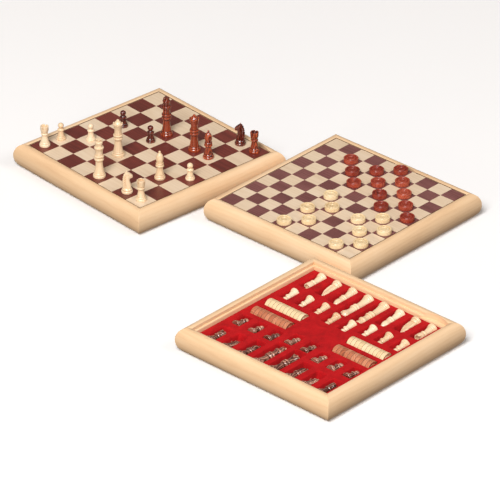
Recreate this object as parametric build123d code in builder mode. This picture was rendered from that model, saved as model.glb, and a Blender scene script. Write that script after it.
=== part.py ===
from build123d import *
from math import atan, cos, degrees, radians, sin, sqrt
import os

os.makedirs("parts", exist_ok=True)

# ---------------------------------------------------------------------------
# Driving dimensions, millimetres
# ---------------------------------------------------------------------------
# case frame: four mitred rails with a half-round outer face, whose top runs
# gently down to the level of the board
SIDE = 320.0            # outer side of the square frame
HEIGHT = 42.0           # height of the frame
BULGE = 14.0            # depth of the half-round outer face
RIM_IN = 141.4          # centre of the case to the inner edge of the rim
LEDGE_IN = 138.0        # centre of the case to the inner edge of the ledge
LEDGE_Z = 35.0          # top of the ledge that carries the lift-out board
PANEL_T = 3.0           # plywood bottom panel
REBATE_IN = 142.0       # centre of the case to the side of the bottom rebate
FIT = 0.2               # clearance of the panel in its rebate

# middle of the arc from the rim's inner edge up to its crest
_dx, _dz = SIDE / 2 - BULGE - RIM_IN, HEIGHT - 41.0
_r, _h = (_dx**2 + _dz**2) / (2 * _dz), atan(_dz / _dx)
RIM_MID = (SIDE / 2 - BULGE - _r * sin(_h), HEIGHT - _r * (1 - cos(_h)))

# loose tongues hidden in the mitres
SPLINE_L, SPLINE_W, SPLINE_T = 14.0, 12.0, 3.0
SPLINE_AT = 149.0       # centre of the tongue along each axis of the case
SPLINE_Z = 19.5         # its mid height
SPLINE_FIT = 0.1

# finger notch in the rim beside the board
NOTCH_DEPTH = 5.0
NOTCH_CHORD = 46.0
NOTCH_FLOOR = 31.0

# lift-out reversible board
BOARD = 280.0           # side of the board
VENEER = 0.6            # veneer thickness, both faces
BOARD_TOP = 41.0        # playing surface above the ground
FIELD = BOARD           # the chequered field runs out to the edges
HAIRLINE = 0.06         # joint between neighbouring veneers

# formed and flocked insert
SHEET = 1.2             # sheet thickness
INSERT = 275.0          # side of the insert
INSERT_TOP = 29.0       # top of the insert above the ground
ROW = 33.0              # pitch of the piece pockets
CORNER = 2.5            # corner radius of a pocket in plan
FLOAT = 0.35            # clearance under a stored piece
PIECE_TOP = 33.5        # highest point of a stored chessman

# draughtsman
DISC_R = 12.25
DISC_T = 7.5
TROUGH_X = 16.7         # centre line of each draughts trough
TROUGH_W = 25.6         # its width
TROUGH_IN, TROUGH_OUT = 47.0, 125.0
DISC_AXIS_Z = 21.75     # height of the axis of a stored row

# chessmen: height and base radius
SIZES = {
    "king": (70.0, 10.5),
    "queen": (66.3, 10.5),
    "bishop": (50.8, 9.25),
    "knight": (39.0, 9.4),
    "rook": (37.0, 9.0),
    "pawn": (30.0, 8.0),
}

# layout of the three cases on the table
GAP = 8.0
CHESS_YAW = -5.7        # the chess case lies turned by this angle, degrees
DRAUGHTS_OFF = (SIDE + GAP, 247.0)      # draughts case centre from tray centre
CHESS_OFF = (233.0, 590.0)              # chess case centre from tray centre

# ---------------------------------------------------------------------------
# The bounding box of the set is centred on the origin
# ---------------------------------------------------------------------------
_c, _s = cos(radians(abs(CHESS_YAW))), sin(radians(abs(CHESS_YAW)))
REACH = SIDE / 2 * (_c + _s)            # half width of the turned chess case
CX = (-SIDE / 2 + max(DRAUGHTS_OFF[0] + SIDE / 2, CHESS_OFF[0] + REACH)) / 2
CY = (-SIDE / 2 + max(DRAUGHTS_OFF[1] + SIDE / 2, CHESS_OFF[1] + REACH)) / 2

UNITS = {
    "tray": (-CX, -CY, 0.0),
    "draughts": (DRAUGHTS_OFF[0] - CX, DRAUGHTS_OFF[1] - CY, 0.0),
    "chess": (CHESS_OFF[0] - CX, CHESS_OFF[1] - CY, CHESS_YAW),
}


def plan(unit, turn=0.0):
    """Ground plane of a case, its x axis turned by the given angle."""
    x, y, yaw = UNITS[unit]
    a = radians(yaw + turn)
    return Plane(origin=(x, y, 0), x_dir=(cos(a), sin(a), 0), z_dir=(0, 0, 1))


def spot(unit, u, v, z=0.0):
    """Point of a case given in its own axes."""
    x, y, yaw = UNITS[unit]
    a = radians(yaw)
    return (x + u * cos(a) - v * sin(a), y + u * sin(a) + v * cos(a), z)


def finish(builder, name):
    builder.part.label = name
    export_step(builder.part, f"parts/{name}.step")


# ---------------------------------------------------------------------------
# Frames: the rails run round each case, named by the side they are on
# right faces +x, back faces +y, left faces -x, front faces -y of the case
# ---------------------------------------------------------------------------
SIDES = {"right": 0, "back": 90, "left": 180, "front": 270}
NOTCH_AT = {"tray": -114.0, "draughts": -10.0, "chess": -114.0}   # on the right rail
NOTCH_R = (NOTCH_CHORD**2 / 4 + NOTCH_DEPTH**2) / (2 * NOTCH_DEPTH)

for unit in UNITS:
    for side, turn in SIDES.items():
        ground = plan(unit, turn)
        section = Plane(origin=ground.origin, x_dir=ground.x_dir, z_dir=-ground.y_dir)
        with BuildPart() as rail:
            with BuildSketch(section):
                with BuildLine():
                    Polyline((LEDGE_IN, PANEL_T), (LEDGE_IN, LEDGE_Z), (RIM_IN, LEDGE_Z),
                             (RIM_IN, BOARD_TOP))
                    ThreePointArc((RIM_IN, BOARD_TOP), RIM_MID, (SIDE / 2 - BULGE, HEIGHT))
                    EllipticalCenterArc((SIDE / 2 - BULGE, HEIGHT / 2), BULGE, HEIGHT / 2,
                                        start_angle=-90, arc_size=180)
                    Polyline((SIDE / 2 - BULGE, 0), (REBATE_IN, 0), (REBATE_IN, PANEL_T),
                             (LEDGE_IN, PANEL_T))
                make_face()
            extrude(amount=SIDE / 2, both=True)
            # both ends mitred at 45 degrees
            with BuildSketch(ground.offset(-1)):
                with BuildLine():
                    Polyline((0, 0), (SIDE, -SIDE), (SIDE, SIDE), close=True)
                make_face()
            extrude(amount=HEIGHT + 2, mode=Mode.INTERSECT)
            # slots for the loose tongues
            for s in (-1, 1):
                with BuildSketch(ground.offset(SPLINE_Z - SPLINE_T / 2 - SPLINE_FIT)):
                    with Locations((SPLINE_AT, s * SPLINE_AT)):
                        Rectangle(SPLINE_L + 2 * SPLINE_FIT, SPLINE_W + 2 * SPLINE_FIT,
                                  rotation=45 * s)
                extrude(amount=SPLINE_T + 2 * SPLINE_FIT, mode=Mode.SUBTRACT)
            # finger notch beside the board
            if side == "right":
                with BuildSketch(ground.offset(NOTCH_FLOOR)):
                    with Locations((RIM_IN + NOTCH_DEPTH - NOTCH_R, NOTCH_AT[unit])):
                        Circle(NOTCH_R)
                extrude(amount=HEIGHT, mode=Mode.SUBTRACT)
        finish(rail, f"{unit}_rail_{side}")

    ground = plan(unit)

    with BuildPart() as tongues:
        for s in (-1, 1):
            with BuildSketch(ground.offset(SPLINE_Z - SPLINE_T / 2)):
                with Locations((SPLINE_AT, s * SPLINE_AT), (-SPLINE_AT, -s * SPLINE_AT)):
                    Rectangle(SPLINE_L, SPLINE_W, rotation=45 * s)
            extrude(amount=SPLINE_T)
    finish(tongues, f"{unit}_mitre_tongues")

    with BuildPart() as bottom:
        with BuildSketch(ground):
            Rectangle(2 * REBATE_IN - 2 * FIT, 2 * REBATE_IN - 2 * FIT)
        extrude(amount=PANEL_T)
    finish(bottom, f"{unit}_bottom_panel")

# ---------------------------------------------------------------------------
# Formed insert: flat flocked sheet with a skirt, 32 pockets and 4 troughs
# ---------------------------------------------------------------------------
ROWS = {
    "rook": (3.5 * ROW, -3.5 * ROW),
    "knight": (2.5 * ROW, -2.5 * ROW),
    "bishop": (1.5 * ROW, -1.5 * ROW),
}
OUTER_END = 135.5                       # outer end of the officers' pockets
POCKETS = {                             # inner end, width, rows
    "royal": (63.0, 24.0, (0.5 * ROW, -0.5 * ROW)),
    "bishop": (80.0, 21.5, ROWS["bishop"]),
    "knight": (84.0, 22.0, ROWS["knight"]),
    "rook": (84.0, 21.0, ROWS["rook"]),
}
PAWN_ROWS = {                           # inner end, outer end, rows
    "pawn_mid": (27.5, 60.0, (0.5 * ROW, -0.5 * ROW)),
    "pawn_side": (39.0, 71.5, ROWS["bishop"] + ROWS["knight"] + ROWS["rook"]),
}
PAWN_W = 19.5
FLOOR = {k: PIECE_TOP - 2 * SIZES[k][1] - FLOAT for k in SIZES}
FLOOR["royal"] = FLOOR["king"]


def pockets():
    """Every pocket as (u, v, length, width, floor height)."""
    out = []
    for kind, (inner, width, rows) in POCKETS.items():
        for v in rows:
            for s in (-1, 1):
                out.append((s * (inner + OUTER_END) / 2, v, OUTER_END - inner, width, FLOOR[kind]))
    for inner, outer, rows in PAWN_ROWS.values():
        for v in rows:
            for s in (-1, 1):
                out.append((s * (inner + outer) / 2, v, outer - inner, PAWN_W, FLOOR["pawn"]))
    return out


for unit in UNITS:
    ground = plan(unit)
    along = Plane(origin=ground.origin, x_dir=ground.x_dir, z_dir=-ground.y_dir)
    with BuildPart() as insert:
        with BuildSketch(ground.offset(PANEL_T)):
            Rectangle(INSERT, INSERT)
        extrude(amount=INSERT_TOP - PANEL_T)
        with BuildSketch(ground.offset(PANEL_T)):
            Rectangle(INSERT - 2 * SHEET, INSERT - 2 * SHEET)
        extrude(amount=INSERT_TOP - PANEL_T - SHEET, mode=Mode.SUBTRACT)
        # outside of the formed pockets
        for floor in sorted({p[4] for p in pockets()}):
            with BuildSketch(ground.offset(floor - SHEET)):
                for u, v, length, width, f in pockets():
                    if f == floor:
                        with Locations((u, v)):
                            RectangleRounded(length + 2 * SHEET, width + 2 * SHEET, CORNER + SHEET)
            extrude(amount=INSERT_TOP - floor + SHEET)
        for s in (-1, 1):
            with BuildSketch(along.offset(s * (TROUGH_IN + TROUGH_OUT) / 2)):
                for t in (-1, 1):
                    with Locations((t * TROUGH_X, DISC_AXIS_Z)):
                        Circle(TROUGH_W / 2 + SHEET)
                    with Locations((t * TROUGH_X, (DISC_AXIS_Z + INSERT_TOP) / 2)):
                        Rectangle(TROUGH_W + 2 * SHEET, INSERT_TOP - DISC_AXIS_Z)
                with Locations((0, INSERT_TOP + 20)):
                    Rectangle(200, 40, mode=Mode.SUBTRACT)
            extrude(amount=(TROUGH_OUT - TROUGH_IN) / 2 + SHEET, both=True)
        # inside of the formed pockets
        for floor in sorted({p[4] for p in pockets()}):
            with BuildSketch(ground.offset(floor)):
                for u, v, length, width, f in pockets():
                    if f == floor:
                        with Locations((u, v)):
                            RectangleRounded(length, width, CORNER)
            extrude(amount=INSERT_TOP - floor + 1, mode=Mode.SUBTRACT)
        for s in (-1, 1):
            with BuildSketch(along.offset(s * (TROUGH_IN + TROUGH_OUT) / 2)):
                for t in (-1, 1):
                    with Locations((t * TROUGH_X, DISC_AXIS_Z)):
                        Circle(TROUGH_W / 2)
                    with Locations((t * TROUGH_X, (DISC_AXIS_Z + INSERT_TOP + 2) / 2)):
                        Rectangle(TROUGH_W, INSERT_TOP + 2 - DISC_AXIS_Z)
            extrude(amount=(TROUGH_OUT - TROUGH_IN) / 2, both=True, mode=Mode.SUBTRACT)
    finish(insert, f"{unit}_insert")

# ---------------------------------------------------------------------------
# Reversible boards: core, and on each face a field of separate veneers;
# the chess side is 8 x 8, the draughts side 10 x 10
# ---------------------------------------------------------------------------


def squares(n, parity):
    a = FIELD / n
    return [((i + 0.5) * a - FIELD / 2, (j + 0.5) * a - FIELD / 2)
            for i in range(n) for j in range(n) if (i + j) % 2 == parity]


for unit, (top_n, under_n) in {"chess": (8, 10), "draughts": (10, 8)}.items():
    ground = plan(unit)
    under_z = LEDGE_Z
    with BuildPart() as core:
        with BuildSketch(ground.offset(LEDGE_Z + VENEER)):
            Rectangle(BOARD, BOARD)
        extrude(amount=BOARD_TOP - LEDGE_Z - 2 * VENEER)
    finish(core, f"{unit}_board_core")

    for tone, parity in (("light", 0), ("dark", 1)):
        with BuildPart() as veneers:
            for n, z in ((top_n, BOARD_TOP - VENEER), (under_n, under_z)):
                a = FIELD / n - HAIRLINE
                with BuildSketch(ground.offset(z)):
                    with Locations(*squares(n, parity)):
                        Rectangle(a, a)
                extrude(amount=VENEER)
        finish(veneers, f"{unit}_board_{tone}_squares")

# ---------------------------------------------------------------------------
# Turned chessmen and draughtsmen, each drawn once at the origin
# ---------------------------------------------------------------------------
UPRIGHT = Plane(origin=(0, 0, 0), x_dir=(1, 0, 0), z_dir=(0, -1, 0))


def foot(r, k):
    """Moulded foot of a man: radius r, heights scaled by k."""
    return [(r - 0.5, 0), (r, 0.6), (r, 4.0 * k), (r - 0.9, 5.0 * k), (r - 1.5, 5.4 * k),
            (r - 1.1, 6.2 * k), (r - 1.3, 7.8 * k), (r - 2.3, 8.8 * k)]


STEMS = {
    "king": (1.00, [(7.4, 13.0), (6.2, 21.0), (5.8, 30.0)],
             [(6.6, 30.6), (7.9, 32.0), (8.0, 33.8), (7.2, 35.0), (6.4, 35.4), (6.4, 36.4),
              (8.0, 37.6), (8.2, 39.4), (7.4, 40.8), (6.5, 41.4), (6.2, 45.0), (6.6, 49.5),
              (7.8, 52.6), (8.1, 54.4), (7.3, 55.8), (6.0, 56.4), (5.7, 58.6), (6.1, 62.2),
              (6.4, 64.2), (5.9, 65.2), (4.7, 65.6), (4.7, 66.4), (5.3, 67.4), (5.6, 69.4),
              (5.2, 70.0)]),
    "queen": (1.00, [(7.3, 13.0), (6.1, 21.0), (5.6, 29.0)],
              [(6.4, 29.6), (7.7, 30.9), (7.9, 32.6), (7.1, 33.9), (6.3, 34.3), (6.3, 35.3),
               (7.8, 36.5), (8.0, 38.2), (7.2, 39.6), (6.3, 40.2), (5.9, 44.5), (6.2, 49.5),
               (7.2, 54.0), (8.4, 58.4), (8.4, 59.8), (7.3, 60.2), (6.0, 60.4), (5.0, 61.6),
               (3.6, 63.4), (2.3, 64.0), (2.5, 65.3), (1.6, 66.1), (0.6, 66.3)]),
    "bishop": (0.92, [(6.2, 12.0), (5.2, 17.0), (4.9, 21.5)],
               [(5.8, 22.1), (6.9, 23.3), (7.0, 24.9), (6.2, 26.0), (5.4, 26.4), (5.4, 27.3),
                (6.4, 28.2), (6.5, 29.4), (5.4, 30.3), (5.8, 33.0), (6.3, 36.2), (6.1, 39.2),
                (5.0, 43.0), (3.2, 45.8), (1.7, 47.2), (2.1, 48.7), (1.6, 50.2), (0.5, 50.8)]),
    "rook": (0.90, [(6.0, 11.5), (5.0, 16.0), (4.6, 20.5)],
             [(5.6, 21.1), (6.3, 22.2), (6.2, 23.4), (5.2, 24.0), (5.2, 25.0), (6.2, 27.0),
              (6.6, 29.5), (7.0, 36.4), (6.6, 37.0)]),
    "pawn": (0.78, [(5.2, 9.5), (4.6, 12.5), (4.3, 15.6)],
             [(5.2, 16.2), (6.0, 17.3), (5.6, 18.7), (4.0, 19.5)]),
}
HEAD_R = 4.9            # ball of a pawn


def turned(kind):
    """Closed half section of a turned man."""
    k, stem, top = STEMS[kind]
    r = SIZES[kind][1]
    base = foot(r, k)
    with BuildLine() as outline:
        Polyline((0, 0), *base)
        Spline(base[-1], *stem)
        if kind == "pawn":
            head_r, head_z = HEAD_R, SIZES["pawn"][0] - HEAD_R
            a = (top[-1][0], head_z - sqrt(head_r**2 - top[-1][0]**2))
            Polyline(stem[-1], *top, a)
            b = (head_r, head_z)
            ThreePointArc(a, b, (0, head_z + head_r))
            Line((0, head_z + head_r), (0, 0))
        else:
            Polyline(stem[-1], *top, (0, top[-1][1]), (0, 0))
    return outline


with BuildPart() as king:
    with BuildSketch(UPRIGHT):
        add(turned("king").line)
        make_face()
    revolve(axis=Axis.Z)
    # four flats make the finial a plain block
    with BuildSketch(Plane.XY.offset(66.0)):
        Rectangle(14, 14)
        Rectangle(8.8, 8.8, mode=Mode.SUBTRACT)
    extrude(amount=5, mode=Mode.SUBTRACT)

with BuildPart() as queen:
    with BuildSketch(UPRIGHT):
        add(turned("queen").line)
        make_face()
    revolve(axis=Axis.Z)
    # eight notches in the coronet
    with BuildSketch(Plane.XY.offset(58.2)):
        with PolarLocations(8.7, 8):
            Circle(1.4)
    extrude(amount=3, mode=Mode.SUBTRACT)

with BuildPart() as bishop:
    with BuildSketch(UPRIGHT):
        add(turned("bishop").line)
        make_face()
    revolve(axis=Axis.Z)
    # slanting cut in the mitre
    with BuildSketch(UPRIGHT):
        with BuildLine():
            Polyline((2.4, 38.4), (9.0, 43.4), (8.4, 44.4), (1.8, 39.4), close=True)
        make_face()
    extrude(amount=8, both=True, mode=Mode.SUBTRACT)

with BuildPart() as rook:
    with BuildSketch(UPRIGHT):
        add(turned("rook").line)
        make_face()
    revolve(axis=Axis.Z)
    # hollow turret with four crenels
    with BuildSketch(Plane.XY.offset(34.0)):
        Circle(4.9)
    extrude(amount=4, mode=Mode.SUBTRACT)
    with BuildSketch(Plane.XY.offset(34.8)):
        Rectangle(16, 2.2)
        Rectangle(2.2, 16)
    extrude(amount=4, mode=Mode.SUBTRACT)

with BuildPart() as pawn:
    with BuildSketch(UPRIGHT):
        add(turned("pawn").line)
        make_face()
    revolve(axis=Axis.Z)

with BuildPart() as knight:
    with BuildSketch(UPRIGHT):
        with BuildLine():
            Polyline((0, 0), *foot(9.4, 0.94), (6.6, 9.2), (0, 9.2), (0, 0))
        make_face()
    revolve(axis=Axis.Z)
    # horse's head and neck, facing +x
    with BuildSketch(UPRIGHT):
        with BuildLine():
            Polyline((6.2, 8.6), (-6.6, 8.6), (-7.5, 12.0), (-7.8, 19.0), (-7.2, 27.0),
                     (-5.4, 33.0), (-2.8, 36.6), (-0.8, 39.0), (1.0, 36.9), (4.6, 35.4),
                     (8.6, 32.4), (9.6, 30.0), (9.2, 27.2), (6.8, 26.6), (5.4, 25.4),
                     (4.4, 22.6), (5.4, 19.0), (6.5, 14.0), (6.6, 10.6),
                     close=True)
        make_face()
    extrude(amount=4.4, both=True)

with BuildPart() as draughtsman:
    with BuildSketch(UPRIGHT):
        with BuildLine():
            Polyline((0, 0.7), (4.2, 0.7), (4.8, 0), (DISC_R - 0.5, 0), (DISC_R, 0.5),
                     (DISC_R, DISC_T - 0.5), (DISC_R - 0.5, DISC_T), (9.9, DISC_T),
                     (9.4, DISC_T - 1.1), (7.9, DISC_T - 1.1), (7.4, DISC_T - 0.5),
                     (4.8, DISC_T - 0.5), (4.2, DISC_T - 1.1), (0, DISC_T - 1.1), close=True)
        make_face()
    revolve(axis=Axis.Z)

SHAPES = {"king": king, "queen": queen, "bishop": bishop, "knight": knight, "rook": rook,
          "pawn": pawn}

# ---------------------------------------------------------------------------
# Men standing on the boards: squares counted from the front left of the case
# ---------------------------------------------------------------------------
STANDING = {
    "light_king": ("king", [(0, 3, 0)]),
    "light_queen": ("queen", [(2, 4, 0)]),
    "light_bishop": ("bishop", [(2, 1, -60)]),
    "light_knight": ("knight", [(0, 1, -40)]),
    "light_rooks": ("rook", [(0, 0, 10), (0, 7, 30)]),
    "light_pawns": ("pawn", [(3, 0, 0), (1, 7, 0), (2, 6, 0)]),
    "dark_king": ("king", [(5, 4, 20)]),
    "dark_queen": ("queen", [(5, 2, 0)]),
    "dark_bishop": ("bishop", [(5, 1, 100)]),
    "dark_knight": ("knight", [(7, 1, 150)]),
    "dark_rook": ("rook", [(7, 0, 25)]),
    "dark_pawns": ("pawn", [(4, 4, 0), (4, 6, 0)]),
}
for name, (kind, places) in STANDING.items():
    yaw = UNITS["chess"][2]
    with BuildPart() as men:
        for i, j, turn in places:
            u, v = (i + 0.5) * FIELD / 8 - FIELD / 2, (j + 0.5) * FIELD / 8 - FIELD / 2
            with Locations(Location(spot("chess", u, v, BOARD_TOP), (0, 0, yaw + turn))):
                add(SHAPES[kind].part)
    finish(men, name)

DRAUGHTS = {
    "light_draughtsmen": [(0, 5), (2, 5), (4, 5), (1, 4), (3, 4), (3, 2), (0, 1), (2, 1),
                          (4, 1), (1, 0), (3, 0)],
    "dark_draughtsmen": [(8, 7), (7, 6), (6, 5), (8, 5), (7, 4), (9, 4), (6, 3), (8, 3),
                         (5, 2), (7, 2), (6, 1), (5, 0)],
}
for name, places in DRAUGHTS.items():
    with BuildPart() as men:
        for i, j in places:
            u, v = (i + 0.5) * FIELD / 10 - FIELD / 2, (j + 0.5) * FIELD / 10 - FIELD / 2
            with Locations(Location(spot("draughts", u, v, BOARD_TOP))):
                add(draughtsman.part)
    finish(men, name)

# ---------------------------------------------------------------------------
# Men stored in the tray: chessmen lie in the pockets, feet outwards, resting on
# the foot and the head; draughtsmen stand on edge in the troughs
# ---------------------------------------------------------------------------
FOOT_AT = 133.8                         # foot of an officer from the case centre


def resting(kind):
    """Slope of a man that lies on its foot and head, and its foot's upper edge."""
    r = SIZES[kind][1]
    if kind == "knight":
        edge, points = 4.0 * 0.94, [(4.4, 39.0), (4.4, 27.0)]
    else:
        k, stem, top = STEMS[kind]
        edge, points = 4.0 * k, stem + top
        if kind == "pawn":
            head = SIZES["pawn"][0] - HEAD_R
            points = points + [(HEAD_R * sin(radians(a)), head + HEAD_R * cos(radians(a)))
                               for a in range(20, 120, 5)]
    return min((r - pr) / (ph - edge) for pr, ph in points if ph > 15.0), edge


def lying(unit, kind, s, u, v, roll=0.0):
    """Placement of a man lying along the case's x axis, head towards the centre."""
    r = SIZES[kind][1]
    slope, edge = resting(kind)
    tilt = atan(slope)
    yaw = UNITS[unit][2]
    # the axis points inwards and dips by the tilt; the foot's upper edge is lowest
    z = FLOOR[kind] + FLOAT + r * cos(tilt) + edge * sin(tilt)
    head = yaw + (180 if s > 0 else 0)
    base = Location(spot(unit, s * u, v, z), (0, 0, head))
    return (base * Location((0, 0, 0), (0, 90 + degrees(tilt), 0))
            * Location((0, 0, 0), (0, 0, roll)))


STORED = {
    "king": lambda s: [(FOOT_AT, 0.5 * ROW * (1 if s < 0 else -1))],
    "queen": lambda s: [(FOOT_AT, 0.5 * ROW * (-1 if s < 0 else 1))],
    "bishop": lambda s: [(FOOT_AT, v) for v in ROWS["bishop"]],
    "knight": lambda s: [(FOOT_AT, v) for v in ROWS["knight"]],
    "rook": lambda s: [(FOOT_AT, v) for v in ROWS["rook"]],
    "pawn": lambda s: [(PAWN_ROWS["pawn_mid"][1] - 1.3, v) for v in PAWN_ROWS["pawn_mid"][2]]
    + [(PAWN_ROWS["pawn_side"][1] - 1.3, v) for v in PAWN_ROWS["pawn_side"][2]],
}
PLURAL = {"king": "king", "queen": "queen", "bishop": "bishops", "knight": "knights",
          "rook": "rooks", "pawn": "pawns"}
for tone, s in (("dark", -1), ("light", 1)):
    for kind, places in STORED.items():
        with BuildPart() as men:
            for n, (u, v) in enumerate(places(s)):
                roll = {"knight": 90.0, "rook": 17.0 + 30 * n, "bishop": 60.0 + 70 * n}.get(kind, 0.0)
                with Locations(lying("tray", kind, s, u, v, roll)):
                    add(SHAPES[kind].part)
        finish(men, f"stored_{tone}_{PLURAL[kind]}")

for tone, s in (("dark", -1), ("light", 1)):
    for end, t in (("back", 1), ("front", -1)):
        with BuildPart() as men:
            for n in range(10):
                v = TROUGH_IN + 1.2 + n * (DISC_T + 0.06)
                with Locations(Location(spot("tray", s * TROUGH_X, t * v, DISC_AXIS_Z),
                                        (0, 0, 0)) * Location((0, 0, 0), (-90 * t, 0, 0))):
                    add(draughtsman.part)
        finish(men, f"stored_{tone}_draughtsmen_{end}")
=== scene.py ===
"""Visual model of a wooden games compendium: three bullnose-framed cases, two
boards, chessmen, draughtsmen and red flocked inserts."""
import math

import bpy
import numpy as np
from mathutils import Matrix, Vector


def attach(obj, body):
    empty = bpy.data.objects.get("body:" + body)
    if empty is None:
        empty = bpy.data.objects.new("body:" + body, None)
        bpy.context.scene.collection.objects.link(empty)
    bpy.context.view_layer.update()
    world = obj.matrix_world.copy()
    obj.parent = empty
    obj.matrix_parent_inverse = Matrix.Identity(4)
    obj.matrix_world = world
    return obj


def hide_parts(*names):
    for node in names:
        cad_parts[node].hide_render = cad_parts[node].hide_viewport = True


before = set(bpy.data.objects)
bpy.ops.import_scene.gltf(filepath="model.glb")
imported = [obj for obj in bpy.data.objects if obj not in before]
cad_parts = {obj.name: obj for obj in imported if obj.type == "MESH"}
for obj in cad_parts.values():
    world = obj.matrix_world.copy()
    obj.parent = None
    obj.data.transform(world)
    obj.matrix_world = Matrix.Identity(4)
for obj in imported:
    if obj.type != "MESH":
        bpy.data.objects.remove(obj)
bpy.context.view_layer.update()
MM = 0.001

# ---------------------------------------------------------------------------
# Sizes, millimetres (the frame's own)
# ---------------------------------------------------------------------------
SIDE, HEIGHT, BULGE = 320.0, 42.0, 14.0
RIM_IN, LEDGE_IN, LEDGE_Z = 141.4, 138.0, 35.0
PANEL_T, REBATE_IN = 3.0, 142.0
NOTCH_DEPTH, NOTCH_CHORD, NOTCH_FLOOR = 5.0, 46.0, 31.0
NOTCH_AT = {"tray": -114.0, "draughts": -10.0, "chess": -114.0}
NOTCH_R = (NOTCH_CHORD**2 / 4 + NOTCH_DEPTH**2) / (2 * NOTCH_DEPTH)
BOARD, VENEER, BOARD_TOP = 280.0, 0.6, 41.0
RIM_R = ((SIDE / 2 - BULGE - RIM_IN) ** 2 + (HEIGHT - BOARD_TOP) ** 2) / (2 * (HEIGHT - BOARD_TOP))
SHEET, INSERT, INSERT_TOP, ROW = 1.2, 275.0, 29.0, 33.0
FLOAT, PIECE_TOP = 0.35, 33.5
DISC_R, DISC_T = 12.25, 7.5
TROUGH_X, TROUGH_W, TROUGH_IN, TROUGH_OUT, DISC_AXIS_Z = 16.7, 25.6, 47.0, 125.0, 21.75
SIZES = {"king": (70.0, 10.5), "queen": (66.3, 10.5), "bishop": (50.8, 9.25),
         "knight": (39.0, 9.4), "rook": (37.0, 9.0), "pawn": (30.0, 8.0)}
GAP, CHESS_YAW = 8.0, -5.7
DRAUGHTS_OFF, CHESS_OFF = (SIDE + GAP, 247.0), (233.0, 590.0)
_c, _s = math.cos(math.radians(abs(CHESS_YAW))), math.sin(math.radians(abs(CHESS_YAW)))
REACH = SIDE / 2 * (_c + _s)
CX = (-SIDE / 2 + max(DRAUGHTS_OFF[0] + SIDE / 2, CHESS_OFF[0] + REACH)) / 2
CY = (-SIDE / 2 + max(DRAUGHTS_OFF[1] + SIDE / 2, CHESS_OFF[1] + REACH)) / 2
UNITS = {"tray": (-CX, -CY, 0.0),
         "draughts": (DRAUGHTS_OFF[0] - CX, DRAUGHTS_OFF[1] - CY, 0.0),
         "chess": (CHESS_OFF[0] - CX, CHESS_OFF[1] - CY, CHESS_YAW)}


def rot(axis, degrees):
    return np.array(Matrix.Rotation(math.radians(degrees), 4, axis))


def shift(x, y, z):
    m = np.eye(4)
    m[:3, 3] = (x, y, z)
    return m


def ground(unit, turn=0.0):
    x, y, yaw = UNITS[unit]
    return shift(x, y, 0) @ rot("Z", yaw + turn)


def apply(m, pts):
    pts = np.asarray(pts, float)
    return pts @ m[:3, :3].T + m[:3, 3]


# ---------------------------------------------------------------------------
# Meshes
# ---------------------------------------------------------------------------
def hollow(me):
    """Attribute hollow: how far the surface turns in (1) or out (-1) at a point."""
    n = len(me.vertices)
    p, nrm = np.empty(n * 3), np.empty(n * 3)
    me.vertices.foreach_get("co", p)
    me.vertices.foreach_get("normal", nrm)
    p, nrm = p.reshape(-1, 3), nrm.reshape(-1, 3)
    e = np.empty(len(me.edges) * 2, np.int32)
    me.edges.foreach_get("vertices", e)
    a, b = e.reshape(-1, 2).T
    d = p[b] - p[a]
    d /= np.maximum(np.linalg.norm(d, axis=1), 1e-9)[:, None]
    turn, num = np.zeros(n), np.zeros(n)
    for i, q in ((a, d), (b, -d)):
        np.add.at(turn, i, (nrm[i] * q).sum(1))
        np.add.at(num, i, 1)
    turn = np.clip(turn / np.maximum(num, 1) / 0.16, -1, 1)
    near = np.zeros(n)
    np.add.at(near, a, turn[b])
    np.add.at(near, b, turn[a])
    turn = 0.6 * turn + 0.4 * near / np.maximum(num, 1)
    at = me.attributes.new("hollow", "FLOAT", "POINT")
    at.data.foreach_set("value", turn.astype(np.float32))


def build(name, parts, material, sharp=38.0, merge=0.0, painted_gap_shade=None):
    """One object from parts: (points mm, faces, placement, tone). Each point
    keeps the place it has on its own blank in the attribute grain, so the wood
    figure follows each separate piece."""
    verts, faces, grain, tone, n = [], [], [], [], 0
    for pts, fcs, m, t in parts:
        pts = np.asarray(pts, float)
        verts.append(apply(m, pts) * MM)
        rng = np.random.default_rng(int(t * 1e6) + 7)
        grain.append(pts + rng.uniform(-400, 400, 3))
        tone.append(np.full(len(pts), t))
        faces += [tuple(int(i) + n for i in f) for f in fcs]
        n += len(pts)
    me = bpy.data.meshes.new(name)
    me.from_pydata(np.concatenate(verts).tolist(), [], faces)
    a = me.attributes.new("grain", "FLOAT_VECTOR", "POINT")
    a.data.foreach_set("vector", np.concatenate(grain).astype(np.float32).ravel())
    a = me.attributes.new("tone", "FLOAT", "POINT")
    a.data.foreach_set("value", np.concatenate(tone).astype(np.float32))
    # an optional mask of points that get painted shade in gaps
    if painted_gap_shade is not None:
        a = me.attributes.new("painted_gap_shade", "FLOAT", "POINT")
        a.data.foreach_set("value", np.concatenate([painted_gap_shade(np.asarray(q[0], float)) for q in parts]).astype(np.float32))
    me.update()
    if merge:
        import bmesh
        bm = bmesh.new()
        bm.from_mesh(me)
        bmesh.ops.remove_doubles(bm, verts=bm.verts, dist=merge * MM)
        bmesh.ops.dissolve_degenerate(bm, edges=bm.edges, dist=merge * MM * 0.5)
        bmesh.ops.recalc_face_normals(bm, faces=bm.faces)
        bm.to_mesh(me)
        bm.free()
    me.validate()
    hollow(me)
    me.shade_smooth()
    if sharp:
        me.set_sharp_from_angle(angle=math.radians(sharp))
    me.materials.append(material)
    ob = bpy.data.objects.new(name, me)
    bpy.context.scene.collection.objects.link(ob)
    return ob


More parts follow.
